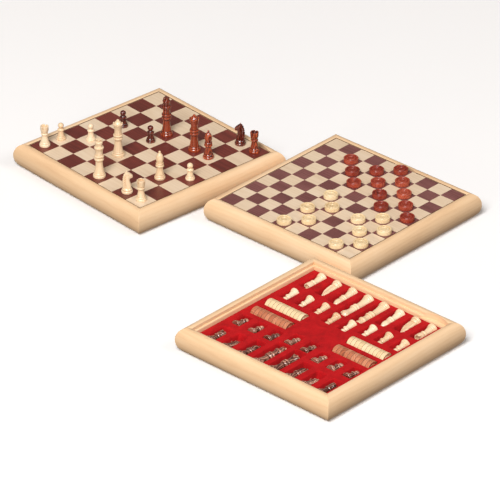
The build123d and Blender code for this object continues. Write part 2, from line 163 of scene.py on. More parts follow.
def corner(a, b, c, r, n=4):
    """Points that round corner b of the path a-b-c with radius r."""
    a, b, c = (np.array(p, float) for p in (a, b, c))
    u, v = a - b, c - b
    lu, lv = np.linalg.norm(u), np.linalg.norm(v)
    if r <= 0 or lu < 1e-6 or lv < 1e-6:
        return [tuple(b)]
    u, v = u / lu, v / lv
    half = math.acos(max(-1.0, min(1.0, float(u @ v)))) / 2
    if half > math.radians(86):
        return [tuple(b)]
    t = min(r / math.tan(half), 0.46 * lu, 0.46 * lv)
    r = t * math.tan(half)
    p, q = b + u * t, b + v * t
    mid = b + (u + v) / np.linalg.norm(u + v) * (r / math.sin(half))
    out = []
    a0 = math.atan2(*(p - mid)[::-1])
    a1 = math.atan2(*(q - mid)[::-1])
    d = (a1 - a0 + math.pi) % (2 * math.pi) - math.pi
    for k in range(n + 1):
        s = a0 + d * k / n
        out.append((mid[0] + r * math.cos(s), mid[1] + r * math.sin(s)))
    return out


def curve(points, n):
    """Smooth path through the points, n steps for each span."""
    p = [np.array(q, float) for q in points]
    p = [2 * p[0] - p[1]] + p + [2 * p[-1] - p[-2]]
    out = []
    for i in range(1, len(p) - 2):
        for k in range(n):
            t = k / n
            out.append(tuple(0.5 * (2 * p[i] + (p[i + 1] - p[i - 1]) * t
                                    + (2 * p[i - 1] - 5 * p[i] + 4 * p[i + 1] - p[i + 2]) * t**2
                                    + (3 * p[i] - 3 * p[i + 1] + p[i + 2] - p[i - 1]) * t**3)))
    out.append(tuple(p[-2]))
    return out


def outline(items):
    """Turned outline. An item is (r, z, fillet) or a list of points of a smooth
    sweep that starts at the item before it."""
    flat = []                                  # (r, z, fillet or None on a sweep)
    for it in items:
        if isinstance(it, list):
            start = flat[-1][:2]
            pts = curve([start] + it, 6)
            flat[-1] = (*start, None)
            flat += [(p[0], p[1], None) for p in pts[1:]]
        else:
            flat.append(it if len(it) == 3 else (*it, 0.0))
    out = []
    for i, (r, z, f) in enumerate(flat):
        if f is None or f == 0 or i in (0, len(flat) - 1):
            out.append((r, z))
        else:
            out += corner(flat[i - 1][:2], (r, z), flat[i + 1][:2], f)
    keep = [out[0]]
    for p in out[1:]:
        if math.hypot(p[0] - keep[-1][0], p[1] - keep[-1][1]) > 0.01:
            keep.append(p)
    return np.array(keep)


def lathe(profile, segs=44, shape=None, angles=None):
    """Closed turned body: profile from the axis below to the axis above."""
    if angles is None:
        angles = [(2 * math.pi * k / segs, 0) for k in range(segs)]
    body = profile[1:-1]
    th = np.array([a for a, _ in angles])
    tag = np.array([t for _, t in angles])
    r = np.repeat(body[:, 0][:, None], len(th), 1)
    z = np.repeat(body[:, 1][:, None], len(th), 1)
    if shape:
        r, z = shape(r, z, th[None, :], tag[None, :])
    pts = np.stack([r * np.cos(th), r * np.sin(th), z], -1).reshape(-1, 3)
    n, m = len(th), len(body)
    pts = np.vstack([pts, [[0, 0, profile[0][1]], [0, 0, profile[-1][1]]]])
    faces = []
    for i in range(m - 1):
        for j in range(n):
            k = (j + 1) % n
            faces.append((i * n + j, i * n + k, (i + 1) * n + k, (i + 1) * n + j))
    for j in range(n):
        k = (j + 1) % n
        faces.append((n * m, k, j))
        faces.append((n * m + 1, (m - 1) * n + j, (m - 1) * n + k))
    return pts, faces


def surface_nets(d, origin, h):
    """Closed quad mesh of the zero level of a sampled distance field."""
    neg = d < 0
    corners = [(i, j, k) for i in (0, 1) for j in (0, 1) for k in (0, 1)]
    n0, n1, n2 = d.shape
    cnt = np.zeros((n0 - 1, n1 - 1, n2 - 1), int)
    for i, j, k in corners:
        cnt += neg[i:n0 - 1 + i, j:n1 - 1 + j, k:n2 - 1 + k]
    active = (cnt > 0) & (cnt < 8)
    ids = -np.ones(active.shape, int)
    ids[active] = np.arange(active.sum())
    cells = np.argwhere(active)
    acc, num = np.zeros((len(cells), 3)), np.zeros(len(cells))
    for a in corners:
        for ax in range(3):
            if a[ax]:
                continue
            b = list(a)
            b[ax] = 1
            fa, fb = d[tuple((cells + a).T)], d[tuple((cells + b).T)]
            cross = (fa < 0) != (fb < 0)
            t = np.where(cross, fa / np.where(cross, fa - fb, 1), 0)
            p = np.array(a, float) + t[:, None] * (np.array(b, float) - np.array(a, float))
            acc += np.where(cross[:, None], p, 0)
            num += cross
    verts = (cells + acc / num[:, None]) * h + np.asarray(origin)
    faces = []
    for ax in range(3):
        u, v = [(1, 2), (2, 0), (0, 1)][ax]
        lo, hi = [slice(None)] * 3, [slice(None)] * 3
        lo[ax], hi[ax] = slice(0, -1), slice(1, None)
        s0, s1 = neg[tuple(lo)], neg[tuple(hi)]
        cr = np.argwhere(s0 != s1)
        eu, ev = np.zeros(3, int), np.zeros(3, int)
        eu[u], ev[v] = 1, 1
        q = np.stack([ids[tuple(cr.T)], ids[tuple((cr - eu).T)],
                      ids[tuple((cr - eu - ev).T)], ids[tuple((cr - ev).T)]], 1)
        out = s0[tuple(cr.T)]
        faces += q[out].tolist() + q[~out][:, ::-1].tolist()
    return verts, faces


# ---------------------------------------------------------------------------
# Materials
# ---------------------------------------------------------------------------
def rgb(r, g, b):
    """Colour given as 0..255 display values."""
    return tuple((c / 255 / 12.92) if c <= 10.3 else ((c / 255 + 0.055) / 1.055) ** 2.4
                 for c in (r, g, b)) + (1.0,)


class Finish:
    """A small hand for building one node material."""

    def __init__(self, name, **uniform):
        self.mat = bpy.data.materials.new(name)
        self.mat.use_nodes = True
        self.tree = self.mat.node_tree
        self.tree.nodes.clear()
        self.out = self.add("ShaderNodeOutputMaterial")
        self.bsdf = self.add("ShaderNodeBsdfPrincipled")
        self.tree.links.new(self.bsdf.outputs["BSDF"], self.out.inputs["Surface"])
        for k, v in uniform.items():
            self.bsdf.inputs[k.replace("_", " ")].default_value = v

    def add(self, kind, **props):
        n = self.tree.nodes.new(kind)
        for k, v in props.items():
            setattr(n, k, v)
        return n

    def put(self, socket, v):
        if isinstance(v, bpy.types.NodeSocket):
            self.tree.links.new(v, socket)
        else:
            socket.default_value = v

    def blank(self):
        """Place on the piece's own blank, mm, and its tone number."""
        g = self.add("ShaderNodeAttribute", attribute_name="grain")
        t = self.add("ShaderNodeAttribute", attribute_name="tone")
        return g.outputs["Vector"], t.outputs["Fac"]

    def spot(self, turn=0.0, at=(0.0, 0.0)):
        """Place in a case's own axes, mm, for a CAD node."""
        c = self.add("ShaderNodeTexCoord")
        a = -math.radians(turn)
        x, y = at[0] * MM, at[1] * MM
        m = self.add("ShaderNodeMapping")
        self.put(m.inputs["Vector"], c.outputs["Object"])
        m.inputs["Rotation"].default_value = (0, 0, a)
        m.inputs["Location"].default_value = (
            (-(math.cos(a) * x - math.sin(a) * y)), (-(math.sin(a) * x + math.cos(a) * y)), 0)
        return self.vec("SCALE", m.outputs["Vector"], scale=1000.0)

    def vec(self, op, a, b=None, scale=None):
        n = self.add("ShaderNodeVectorMath", operation=op)
        self.put(n.inputs[0], a)
        if b is not None:
            self.put(n.inputs[1], b)
        if scale is not None:
            self.put(n.inputs["Scale"], scale)
        return n.outputs["Value"] if op in ("LENGTH", "DOT_PRODUCT", "DISTANCE") else n.outputs["Vector"]

    def math(self, op, a, b=None, c=None, clamp=False):
        n = self.add("ShaderNodeMath", operation=op, use_clamp=clamp)
        self.put(n.inputs[0], a)
        if b is not None:
            self.put(n.inputs[1], b)
        if c is not None:
            self.put(n.inputs[2], c)
        return n.outputs[0]

    def noise(self, vector, scale=1.0, detail=3.0, rough=0.55, distort=0.0, colour=False):
        n = self.add("ShaderNodeTexNoise")
        self.put(n.inputs["Vector"], vector)
        n.inputs["Scale"].default_value = scale
        n.inputs["Detail"].default_value = detail
        n.inputs["Roughness"].default_value = rough
        n.inputs["Distortion"].default_value = distort
        return n.outputs["Color" if colour else "Fac"]

    def white(self, vector):
        n = self.add("ShaderNodeTexWhiteNoise", noise_dimensions="3D")
        self.put(n.inputs["Vector"], vector)
        return n.outputs["Value"], n.outputs["Color"]

    def fit(self, v, a, b, c=0.0, d=1.0, smooth=False):
        n = self.add("ShaderNodeMapRange")
        n.interpolation_type = "SMOOTHSTEP" if smooth else "LINEAR"
        self.put(n.inputs["Value"], v)
        for k, x in (("From Min", a), ("From Max", b), ("To Min", c), ("To Max", d)):
            n.inputs[k].default_value = x
        return n.outputs["Result"]

    def mix(self, f, a, b, how="MIX"):
        n = self.add("ShaderNodeMix", data_type="RGBA", blend_type=how)
        self.put(n.inputs[0], f)
        self.put(n.inputs[6], a)
        self.put(n.inputs[7], b)
        return n.outputs[2]

    def ramp(self, f, *stops):
        n = self.add("ShaderNodeValToRGB")
        self.put(n.inputs["Fac"], f)
        el = n.color_ramp.elements
        while len(el) < len(stops):
            el.new(0.5)
        for e, (p, c) in zip(el, stops):
            e.position, e.color = p, c
        return n.outputs["Color"]

    def bump(self, height, distance, strength=1.0, normal=None):
        n = self.add("ShaderNodeBump")
        self.put(n.inputs["Height"], height)
        n.inputs["Distance"].default_value = distance * MM
        n.inputs["Strength"].default_value = strength
        if normal is not None:
            self.put(n.inputs["Normal"], normal)
        return n.outputs["Normal"]

    def finish(self, colour=None, rough=None, normal=None):
        if colour is not None:
            self.put(self.bsdf.inputs["Base Color"], colour)
        if rough is not None:
            self.put(self.bsdf.inputs["Roughness"], rough)
        if normal is not None:
            self.put(self.bsdf.inputs["Normal"], normal)
            if self.bsdf.inputs["Coat Weight"].default_value > 0:
                self.put(self.bsdf.inputs["Coat Normal"], normal)
        return self.mat


def wood(name, dark, mid, light, pores=None, pitch=3.4, ring=0.5, fleck=0.35, pore_amount=0.0,
         along="Y", rough=(0.34, 0.46), spread=0.10, place=None, relief=0.02, painted_hollow_shade=0.0, painted_edge_highlight=0.1, painted_gap_shade_colour=None, **uniform):
    """Wood with growth rings round a pith outside the piece, long fibres, short
    flecks and, if wanted, open pores. along is the grain direction."""
    s = Finish(name, **uniform)
    if place is None:
        p, tone = s.blank()
    else:
        p, tone = place(s)
    # grain runs along local y from here on
    if along == "Z":
        n = s.add("ShaderNodeMapping")
        s.put(n.inputs["Vector"], p)
        n.inputs["Rotation"].default_value = (math.pi / 2, 0, 0)
        p = n.outputs["Vector"]
    elif along == "X":
        n = s.add("ShaderNodeMapping")
        s.put(n.inputs["Vector"], p)
        n.inputs["Rotation"].default_value = (0, 0, math.pi / 2)
        p = n.outputs["Vector"]
    drift = s.noise(s.vec("MULTIPLY", p, (0.03, 0.0035, 0.03)), 1.0, 2.0, 0.5)
    wave = s.noise(s.vec("MULTIPLY", p, (0.16, 0.012, 0.16)), 1.0, 3.0, 0.6)
    r = s.vec("LENGTH", s.vec("MULTIPLY", s.vec("ADD", p, (0.0, 0.0, 0.0)), (1.0, 0.0, 1.0)))
    phase = s.math("ADD", s.math("MULTIPLY", r, 2 * math.pi / pitch),
                   s.math("ADD", s.math("MULTIPLY", drift, 22.0), s.math("MULTIPLY", wave, 3.2)))
    rings = s.math("MULTIPLY_ADD", s.math("SINE", phase), 0.5, 0.5)
    rings = s.math("POWER", rings, 1.6)
    fibre = s.noise(s.vec("MULTIPLY", p, (2.6, 0.05, 2.6)), 1.0, 4.0, 0.65)
    patch = s.noise(s.vec("MULTIPLY", p, (0.045, 0.009, 0.045)), 1.0, 3.0, 0.55)
    short = s.noise(s.vec("MULTIPLY", p, (1.9, 0.32, 1.9)), 1.0, 2.0, 0.5)
    flecks = s.fit(short, 0.60, 0.74, smooth=True)
    # one number from dark to light
    v = s.math("MULTIPLY_ADD", rings, -ring * 0.5, 0.62)
    v = s.math("ADD", v, s.math("MULTIPLY_ADD", fibre, 0.50, -0.25))
    v = s.math("ADD", v, s.math("MULTIPLY_ADD", patch, 0.70, -0.35))
    v = s.math("ADD", v, s.math("MULTIPLY_ADD", tone, 2 * spread, -spread))
    v = s.math("SUBTRACT", v, s.math("MULTIPLY", flecks, fleck), clamp=not painted_hollow_shade)
    if painted_hollow_shade:
        # painted shade darkens the hollows; painted highlight makes the convex edges paler
        h = s.add("ShaderNodeAttribute", attribute_name="hollow").outputs["Fac"]
        h = s.math("MULTIPLY", h, s.math("MULTIPLY_ADD", patch, 0.8, 0.6))
        v = s.math("SUBTRACT", v, s.math("MULTIPLY", s.math("MAXIMUM", h, 0.0), painted_hollow_shade))
        v = s.math("ADD", v, s.math("MULTIPLY", s.math("MAXIMUM", s.math("MULTIPLY", h, -1.0), 0.0), painted_edge_highlight), clamp=True)
    colour = s.ramp(v, (0.0, dark), (0.52, mid), (1.0, light))
    height = s.math("MULTIPLY_ADD", fibre, 0.7, s.math("MULTIPLY", rings, -0.2))
    if pores is not None:
        long = s.noise(s.vec("MULTIPLY", p, (3.4, 0.10, 3.4)), 1.0, 2.0, 0.5)
        pits = s.fit(long, 0.60, 0.68, smooth=True)
        colour = s.mix(s.math("MULTIPLY", pits, pore_amount), colour, pores)
        height = s.math("SUBTRACT", height, s.math("MULTIPLY", pits, 0.8))
    # painted shade in gaps: points flagged by the gap attribute take the given dark colour
    if painted_gap_shade_colour is not None:
        m = s.add("ShaderNodeAttribute", attribute_name="painted_gap_shade").outputs["Fac"]
        colour = s.mix(s.fit(m, 0.35, 0.65), colour, painted_gap_shade_colour)
    rr = s.math("MULTIPLY_ADD", fibre, rough[1] - rough[0], rough[0])
    return s.finish(colour, rr, s.bump(height, relief))


# frame of each case: pale beech with a satin lacquer
RAIL = wood("rail_beech", rgb(206, 162, 122), rgb(235, 198, 156), rgb(246, 217, 182), pitch=6.5, ring=0.20, painted_gap_shade_colour=rgb(70, 38, 22),
            fleck=0.16, spread=0.07, rough=(0.36, 0.50), relief=0.03,
            Coat_Weight=0.16, Coat_Roughness=0.24, Coat_IOR=1.5)
TONGUE = wood("tongue_beech", rgb(160, 112, 66), rgb(196, 146, 96), rgb(216, 170, 120), pitch=2.2,
              ring=0.5, rough=(0.6, 0.75), place=lambda s: (s.spot(), 0.5))


def in_case(unit, turn=0.0):
    x, y, yaw = UNITS[unit]
    return lambda s: (s.spot(yaw + turn, (x, y)), 0.5)


def squares_of(unit, n):
    """Gives every veneer square its own cut of wood. The boards carry one field
    above and the other below, so the height picks the size of the square."""
    x, y, yaw = UNITS[unit]
    top, under = n

    def place(s):
        p = s.spot(yaw, (x, y))
        sep = s.add("ShaderNodeSeparateXYZ")
        s.put(sep.inputs[0], p)
        up = s.math("GREATER_THAN", sep.outputs["Z"], (LEDGE_Z + BOARD_TOP) / 2)
        k = s.math("ADD", under / BOARD, s.math("MULTIPLY", up, (top - under) / BOARD))
        q = s.add("ShaderNodeCombineXYZ")
        s.put(q.inputs[0], s.math("MULTIPLY_ADD", sep.outputs["X"], k, s.math("MULTIPLY", k, BOARD / 2)))
        s.put(q.inputs[1], s.math("MULTIPLY_ADD", sep.outputs["Y"], k, s.math("MULTIPLY", k, BOARD / 2)))
        s.put(q.inputs[2], up)
        cell = s.vec("FLOOR", q.outputs[0])
        value, colour = s.white(s.vec("ADD", cell, (0.37, 0.37, 0.37)))
        cut = s.vec("SCALE", s.vec("SUBTRACT", colour, (0.5, 0.5, 0.5)), scale=900.0)
        return s.vec("ADD", p, cut), value
    return place


LIGHT_VENEER, DARK_VENEER, CORE, PANEL = {}, {}, {}, {}
for unit, n in (("chess", (8, 10)), ("draughts", (10, 8))):
    LIGHT_VENEER[unit] = wood(f"maple_veneer_{unit}", rgb(204, 176, 144), rgb(229, 204, 174), rgb(240, 220, 195),
                              pitch=5.5, ring=0.28, fleck=0.10, spread=0.09, rough=(0.36, 0.48), relief=0.012,
                              place=squares_of(unit, n), Coat_Weight=0.2, Coat_Roughness=0.22)
    # the draughts board's dark squares are greyer and more purple than the chess board's: painted reflection of the
    # bright surroundings
    shades = {"chess": (rgb(76, 24, 18), rgb(111, 43, 35), rgb(140, 62, 50)),
              "draughts": (rgb(86, 42, 40), rgb(122, 72, 70), rgb(150, 98, 94))}[unit]
    DARK_VENEER[unit] = wood(f"wenge_veneer_{unit}", *shades,
                             pores=rgb(44, 16, 14), pore_amount=0.5, pitch=3.2, ring=0.5, fleck=0.2,
                             spread=0.10, rough=(0.30, 0.44), relief=0.02, place=squares_of(unit, n),
                             Coat_Weight=0.25, Coat_Roughness=0.22)

# the men and discs below: their hollows are darkened as painted shade and their convex edges paled as painted
# highlight
LIGHT_MEN = wood("boxwood", rgb(198, 152, 106), rgb(239, 209, 171), rgb(250, 231, 203), along="Z", pitch=2.6,
                 ring=0.30, fleck=0.08, spread=0.20, rough=(0.30, 0.42), relief=0.012, painted_hollow_shade=0.62,
                 Coat_Weight=0.35, Coat_Roughness=0.14)
DARK_MEN = wood("stained_rosewood", rgb(26, 5, 2), rgb(98, 22, 9), rgb(216, 98, 52), along="Z", pitch=2.2,
                ring=0.8, fleck=0.25, pores=rgb(18, 3, 2), pore_amount=0.5, spread=0.26,
                rough=(0.16, 0.28), relief=0.014, painted_hollow_shade=0.5, painted_edge_highlight=0.38, Coat_Weight=0.9, Coat_Roughness=0.07)
# the men kept in the tray get a copy of the dark wood with their light painted in: a darker body, and paler beads as
# painted highlights
DARK_KEPT = wood("rosewood_with_painted_highlights", rgb(20, 5, 3), rgb(84, 26, 17), rgb(236, 178, 150), along="Z", pitch=2.2,
                 ring=0.6, fleck=0.2, pores=rgb(18, 4, 2), pore_amount=0.4, spread=0.10,
                 rough=(0.16, 0.28), relief=0.014, painted_hollow_shade=0.5, painted_edge_highlight=0.55, Coat_Weight=0.9, Coat_Roughness=0.07)
LIGHT_DISC = wood("boxwood_disc", rgb(186, 148, 100), rgb(237, 209, 163), rgb(247, 228, 194), along="X", painted_gap_shade_colour=rgb(112, 76, 42),
                  pitch=2.8, ring=0.34, fleck=0.10, spread=0.10, rough=(0.30, 0.42), relief=0.014, painted_hollow_shade=0.6,
                  Coat_Weight=0.3, Coat_Roughness=0.16)
DARK_DISC = wood("stained_disc", rgb(78, 16, 7), rgb(152, 46, 26), rgb(206, 104, 72), along="X", pitch=2.4, painted_gap_shade_colour=rgb(52, 14, 8),
                 ring=0.55, fleck=0.2, pores=rgb(60, 14, 8), pore_amount=0.35, spread=0.12, painted_hollow_shade=0.55,
                 rough=(0.32, 0.46), relief=0.014, Coat_Weight=0.22, Coat_Roughness=0.2)

# the dark draughtsmen kept in the rows: a paler copy of the dark disc wood, painted light for edges that face the
# lamps, with paler convex edges as painted highlight
DARK_ROW = wood("stained_disc_painted_lit_edges", rgb(104, 44, 26), rgb(186, 108, 74), rgb(224, 162, 126), along="X", pitch=2.4,
                painted_gap_shade_colour=rgb(58, 18, 10), ring=0.6, fleck=0.3, spread=0.16, painted_hollow_shade=0.4, painted_edge_highlight=0.3,
                rough=(0.32, 0.46), relief=0.014, Coat_Weight=0.22, Coat_Roughness=0.2)


def flock(name):
    """Short red fibre glued to a formed sheet: fuzz, crushed patches, sheen."""
    s = Finish(name, Sheen_Weight=0.26, Sheen_Roughness=0.45, Sheen_Tint=rgb(235, 80, 80),
               Specular_IOR_Level=0.25)
    p, _ = s.blank()
    fuzz = s.noise(p, 5.5, 3.0, 0.7)
    tuft = s.noise(p, 1.1, 3.0, 0.6)
    patch = s.noise(p, 0.055, 3.0, 0.6, 0.6)
    v = s.math("ADD", s.math("MULTIPLY", fuzz, 0.38), s.math("MULTIPLY", patch, 0.62))
    v = s.math("ADD", v, s.math("MULTIPLY_ADD", tuft, 0.24, -0.12), clamp=True)
    colour = s.ramp(v, (0.18, rgb(124, 4, 9)), (0.50, rgb(181, 9, 17)), (0.85, rgb(208, 24, 29)))
    rough = s.math("MULTIPLY_ADD", fuzz, 0.12, 0.84)
    n = s.bump(tuft, 0.10, 0.6, s.bump(fuzz, 0.10, 0.9))
    return s.finish(colour, rough, n)


FLOCK = flock("red_flock")


def fibreboard(unit):
    x, y, yaw = UNITS[unit]
    s = Finish(f"fibreboard_{unit}", Specular_IOR_Level=0.3)
    p = s.spot(yaw, (x, y))
    a = s.noise(p, 2.2, 4.0, 0.7)
    b = s.noise(s.vec("MULTIPLY", p, (0.5, 0.5, 5.0)), 1.0, 3.0, 0.6)
    v = s.math("MULTIPLY_ADD", a, 0.6, s.math("MULTIPLY", b, 0.4))
    colour = s.ramp(v, (0.25, rgb(98, 66, 40)), (0.55, rgb(140, 102, 66)), (0.8, rgb(170, 130, 88)))
    return s.finish(colour, 0.85, s.bump(a, 0.06))


def plywood(unit):
    """Thin birch ply: broad rotary-cut figure below, laminations at the edge."""
    x, y, yaw = UNITS[unit]
    s = Finish(f"birch_ply_{unit}", Specular_IOR_Level=0.35)
    p = s.spot(yaw, (x, y))
    drift = s.noise(s.vec("MULTIPLY", p, (0.012, 0.004, 0.012)), 1.0, 3.0, 0.6)
    bands = s.math("MULTIPLY_ADD", s.math("SINE", s.math("MULTIPLY", drift, 60.0)), 0.5, 0.5)
    fibre = s.noise(s.vec("MULTIPLY", p, (1.5, 0.04, 1.5)), 1.0, 4.0, 0.65)
    v = s.math("MULTIPLY_ADD", fibre, 0.55, s.math("MULTIPLY_ADD", bands, 0.22, 0.10))
    colour = s.ramp(v, (0.2, rgb(172, 132, 88)), (0.5, rgb(208, 172, 126)), (0.85, rgb(228, 198, 154)))
    sep = s.add("ShaderNodeSeparateXYZ")
    s.put(sep.inputs[0], p)
    layer = s.math("GREATER_THAN", s.math("SINE", s.math("MULTIPLY", sep.outputs["Z"], 2 * math.pi)), 0.0)
    side = s.math("GREATER_THAN", s.vec("LENGTH", s.vec("MULTIPLY", p, (0, 0, 0))), 1.0)
    colour = s.mix(s.math("MULTIPLY", layer, s.math("MULTIPLY", side, 0.4)), colour, rgb(140, 100, 62))
    return s.finish(colour, s.math("MULTIPLY_ADD", fibre, 0.2, 0.55), s.bump(fibre, 0.03))


def dress(node, material):
    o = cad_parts[node]
    o.data.materials.clear()
    o.data.materials.append(material)
    return o


# ---------------------------------------------------------------------------
# Frame rails: one mitred moulding, with the finger notch worked into the right one
# ---------------------------------------------------------------------------
def rail_section(x_notch):
    """Closed section (x out from the case's centre, z up) where the notch
    reaches x_notch; every section has the same number of points."""
    xn = min(max(x_notch, LEDGE_IN), RIM_IN + NOTCH_DEPTH)
    wall = max(RIM_IN, xn)

    def top(x):
        t = x - (SIDE / 2 - BULGE)
        if t < 0:
            return HEIGHT - RIM_R + math.sqrt(RIM_R**2 - t * t)
        return HEIGHT / 2 + HEIGHT / 2 * math.sqrt(max(0.0, 1 - (t / BULGE) ** 2))

    pts = [(REBATE_IN + 0.3, 0.0), (REBATE_IN, 0.3), (REBATE_IN, PANEL_T),
           (LEDGE_IN + 0.3, PANEL_T), (LEDGE_IN, PANEL_T + 0.3), (LEDGE_IN, 17.0), (LEDGE_IN, NOTCH_FLOOR),
           (xn, NOTCH_FLOOR)]
    f = 0.45
    for a in (0, 30, 60, 90):
        a = math.radians(a)
        pts.append((min(xn + f * (1 - math.cos(a)), wall), LEDGE_Z - f * (1 - math.sin(a))))
    pts.append((wall, LEDGE_Z))
    pts.append((wall, BOARD_TOP - 1.2))
    f = 0.4
    for a in (0, 22.5, 45, 67.5, 90):
        a = math.radians(a)
        x = wall + f * (1 - math.cos(a))
        pts.append((x, top(wall + f) - f * (1 - math.sin(a))))
    crest = max(SIDE / 2 - BULGE, wall + f + 0.25)
    for x in np.linspace(wall + f, crest, 8)[1:-1]:
        pts.append((x, top(x)))
    a0 = math.acos(min(1.0, max(0.0, (crest - (SIDE / 2 - BULGE)) / BULGE)))
    for k in range(41):
        a = a0 + (-math.pi / 2 - a0) * k / 40
        pts.append((SIDE / 2 - BULGE + BULGE * math.cos(a), HEIGHT / 2 + HEIGHT / 2 * math.sin(a)))
    return np.array(pts)


def rail(unit, side, turn):
    y0 = NOTCH_AT[unit]
    notched = side == "right"
    base = rail_section(0.0)
    n = len(base)
    # a hair of each mitred end is eased, so that the joint shows as a fine line
    ys = [-1.0, -0.995] + list(np.linspace(-0.9, 0.9, 25)) + [0.995, 1.0]
    rows = []
    centre = base.mean(0)

    def row(section, y):
        return np.stack([section[:, 0], np.broadcast_to(y, section[:, 0].shape), section[:, 1]], 1)

    inset = base.copy()
    d = np.roll(base, -1, 0) - np.roll(base, 1, 0)
    nrm = np.stack([d[:, 1], -d[:, 0]], 1)
    nrm /= np.maximum(np.linalg.norm(nrm, axis=1), 1e-9)[:, None]
    if ((base - centre) * nrm).sum() < 0:
        nrm = -nrm
    inset = base - nrm * 0.10
    inset[:, 1] = np.maximum(inset[:, 1], 0.02)
    rows.append(row(inset, -inset[:, 0]))
    rows.append(row(base, -(base[:, 0] - 0.22)))
    if notched:
        half = NOTCH_CHORD / 2
        xc = RIM_IN + NOTCH_DEPTH - NOTCH_R
        reach = math.sqrt(NOTCH_R**2 - (LEDGE_IN - xc) ** 2)
        half = math.sqrt(NOTCH_R**2 - (RIM_IN - xc) ** 2)
        marks = set(np.round(np.linspace(-reach, reach, 57), 3)) | {-half, half}
        stations = sorted({-125.0 if y0 > -60 else -137.0, 0.0 if y0 < -60 else -70.0, 60.0, 110.0}
                          | {y0 + m for m in marks})
    else:
        xc, reach = 0.0, 0.0
        stations = list(np.linspace(-125, 125, 11))
    for y in stations:
        if notched and abs(y - y0) < reach:
            rows.append(row(rail_section(xc + math.sqrt(NOTCH_R**2 - (y - y0) ** 2)), y))
        elif abs(y) < LEDGE_IN - 0.5:
            rows.append(row(base, y))
    rows.append(row(base, base[:, 0] - 0.22))
    rows.append(row(inset, inset[:, 0]))
    # a station must stay inside the mitre line at the inner edge
    pts = np.concatenate(rows)
    faces = []
    for i in range(len(rows) - 1):
        for j in range(n):
            k = (j + 1) % n
            faces.append((i * n + j, i * n + k, (i + 1) * n + k, (i + 1) * n + j))
    faces.append(tuple(range(n)))
    faces.append(tuple(reversed(range((len(rows) - 1) * n, len(rows) * n))))
    return pts, faces


SIDES = {"right": 0, "back": 90, "left": 180, "front": 270}
seed = 0
for unit in UNITS:
    for side, turn in SIDES.items():
        seed += 1
        pts, faces = rail(unit, side, turn)
        tone = (0.17 + 0.377 * seed) % 1.0
        # painted shadow: the arris round a board and the first millimetre under it are darkened, as the gap there lies
        # in shade
        piece = build(f"{unit}_{side}_rail_wood", [(pts, faces, ground(unit, turn), tone)], RAIL, 32, merge=0.004,
                      painted_gap_shade=lambda p: ((p[:, 0] < RIM_IN + 0.25) & (p[:, 2] > BOARD_TOP - 0.8)
                                       & (unit != "tray")).astype(float))
        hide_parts(f"{unit}_rail_{side}")
        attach(piece, f"{unit}_case")
    dress(f"{unit}_mitre_tongues", TONGUE)
    dress(f"{unit}_bottom_panel", plywood(unit))

# ---------------------------------------------------------------------------
# Boards: the CAD pieces with their own finishes
# ---------------------------------------------------------------------------
for unit in ("chess", "draughts"):
    dress(f"{unit}_board_core", fibreboard(unit))
    dress(f"{unit}_board_light_squares", LIGHT_VENEER[unit])
    dress(f"{unit}_board_dark_squares", DARK_VENEER[unit])

# ---------------------------------------------------------------------------
# Formed insert: one sheet, drawn down into pockets with eased lips, drafted
# walls and rounded floors
# ---------------------------------------------------------------------------
FLOOR = {k: PIECE_TOP - 2 * SIZES[k][1] - FLOAT for k in SIZES}
POCKETS = []                                   # u0, u1, v, width, floor, inner slope
for s in (-1, 1):
    for kind, inner, width, rows, slope in (
            ("king", 63.0, 24.0, (0.5, -0.5), 1.0), ("bishop", 80.0, 21.5, (1.5, -1.5), 2.2),
            ("knight", 84.0, 22.0, (2.5, -2.5), 8.5), ("rook", 84.0, 21.0, (3.5, -3.5), 9.5)):
        for v in rows:
            POCKETS.append((s, inner, 135.5, v * ROW, width, FLOOR[kind], slope))
    for inner, outer, rows in ((27.5, 60.0, (0.5, -0.5)), (39.0, 71.5, (1.5, -1.5, 2.5, -2.5, 3.5, -3.5))):
        for v in rows:
            POCKETS.append((s, inner, outer, v * ROW, 19.5, FLOOR["pawn"], 1.0))


def lines(edges, steps, lo, hi, span):
    """Grid lines: close together at every pocket edge, span apart elsewhere."""
    out = {lo, hi}
    for e, inward in edges:
        for t in steps:
            out.add(round(e + inward * t, 4))
    out = sorted(x for x in out if lo <= x <= hi)
    full = [out[0]]
    for x in out[1:]:
        g = x - full[-1]
        if g < 0.09:
            continue
        k = int(math.ceil(g / span))
        base = full[-1]
        full += [base + g * (i + 1) / k for i in range(k)]
    return np.array(full)


def ease(t):
    t = np.clip(t, 0, 1)
    return t * t * t * (t * (6 * t - 15) + 10)


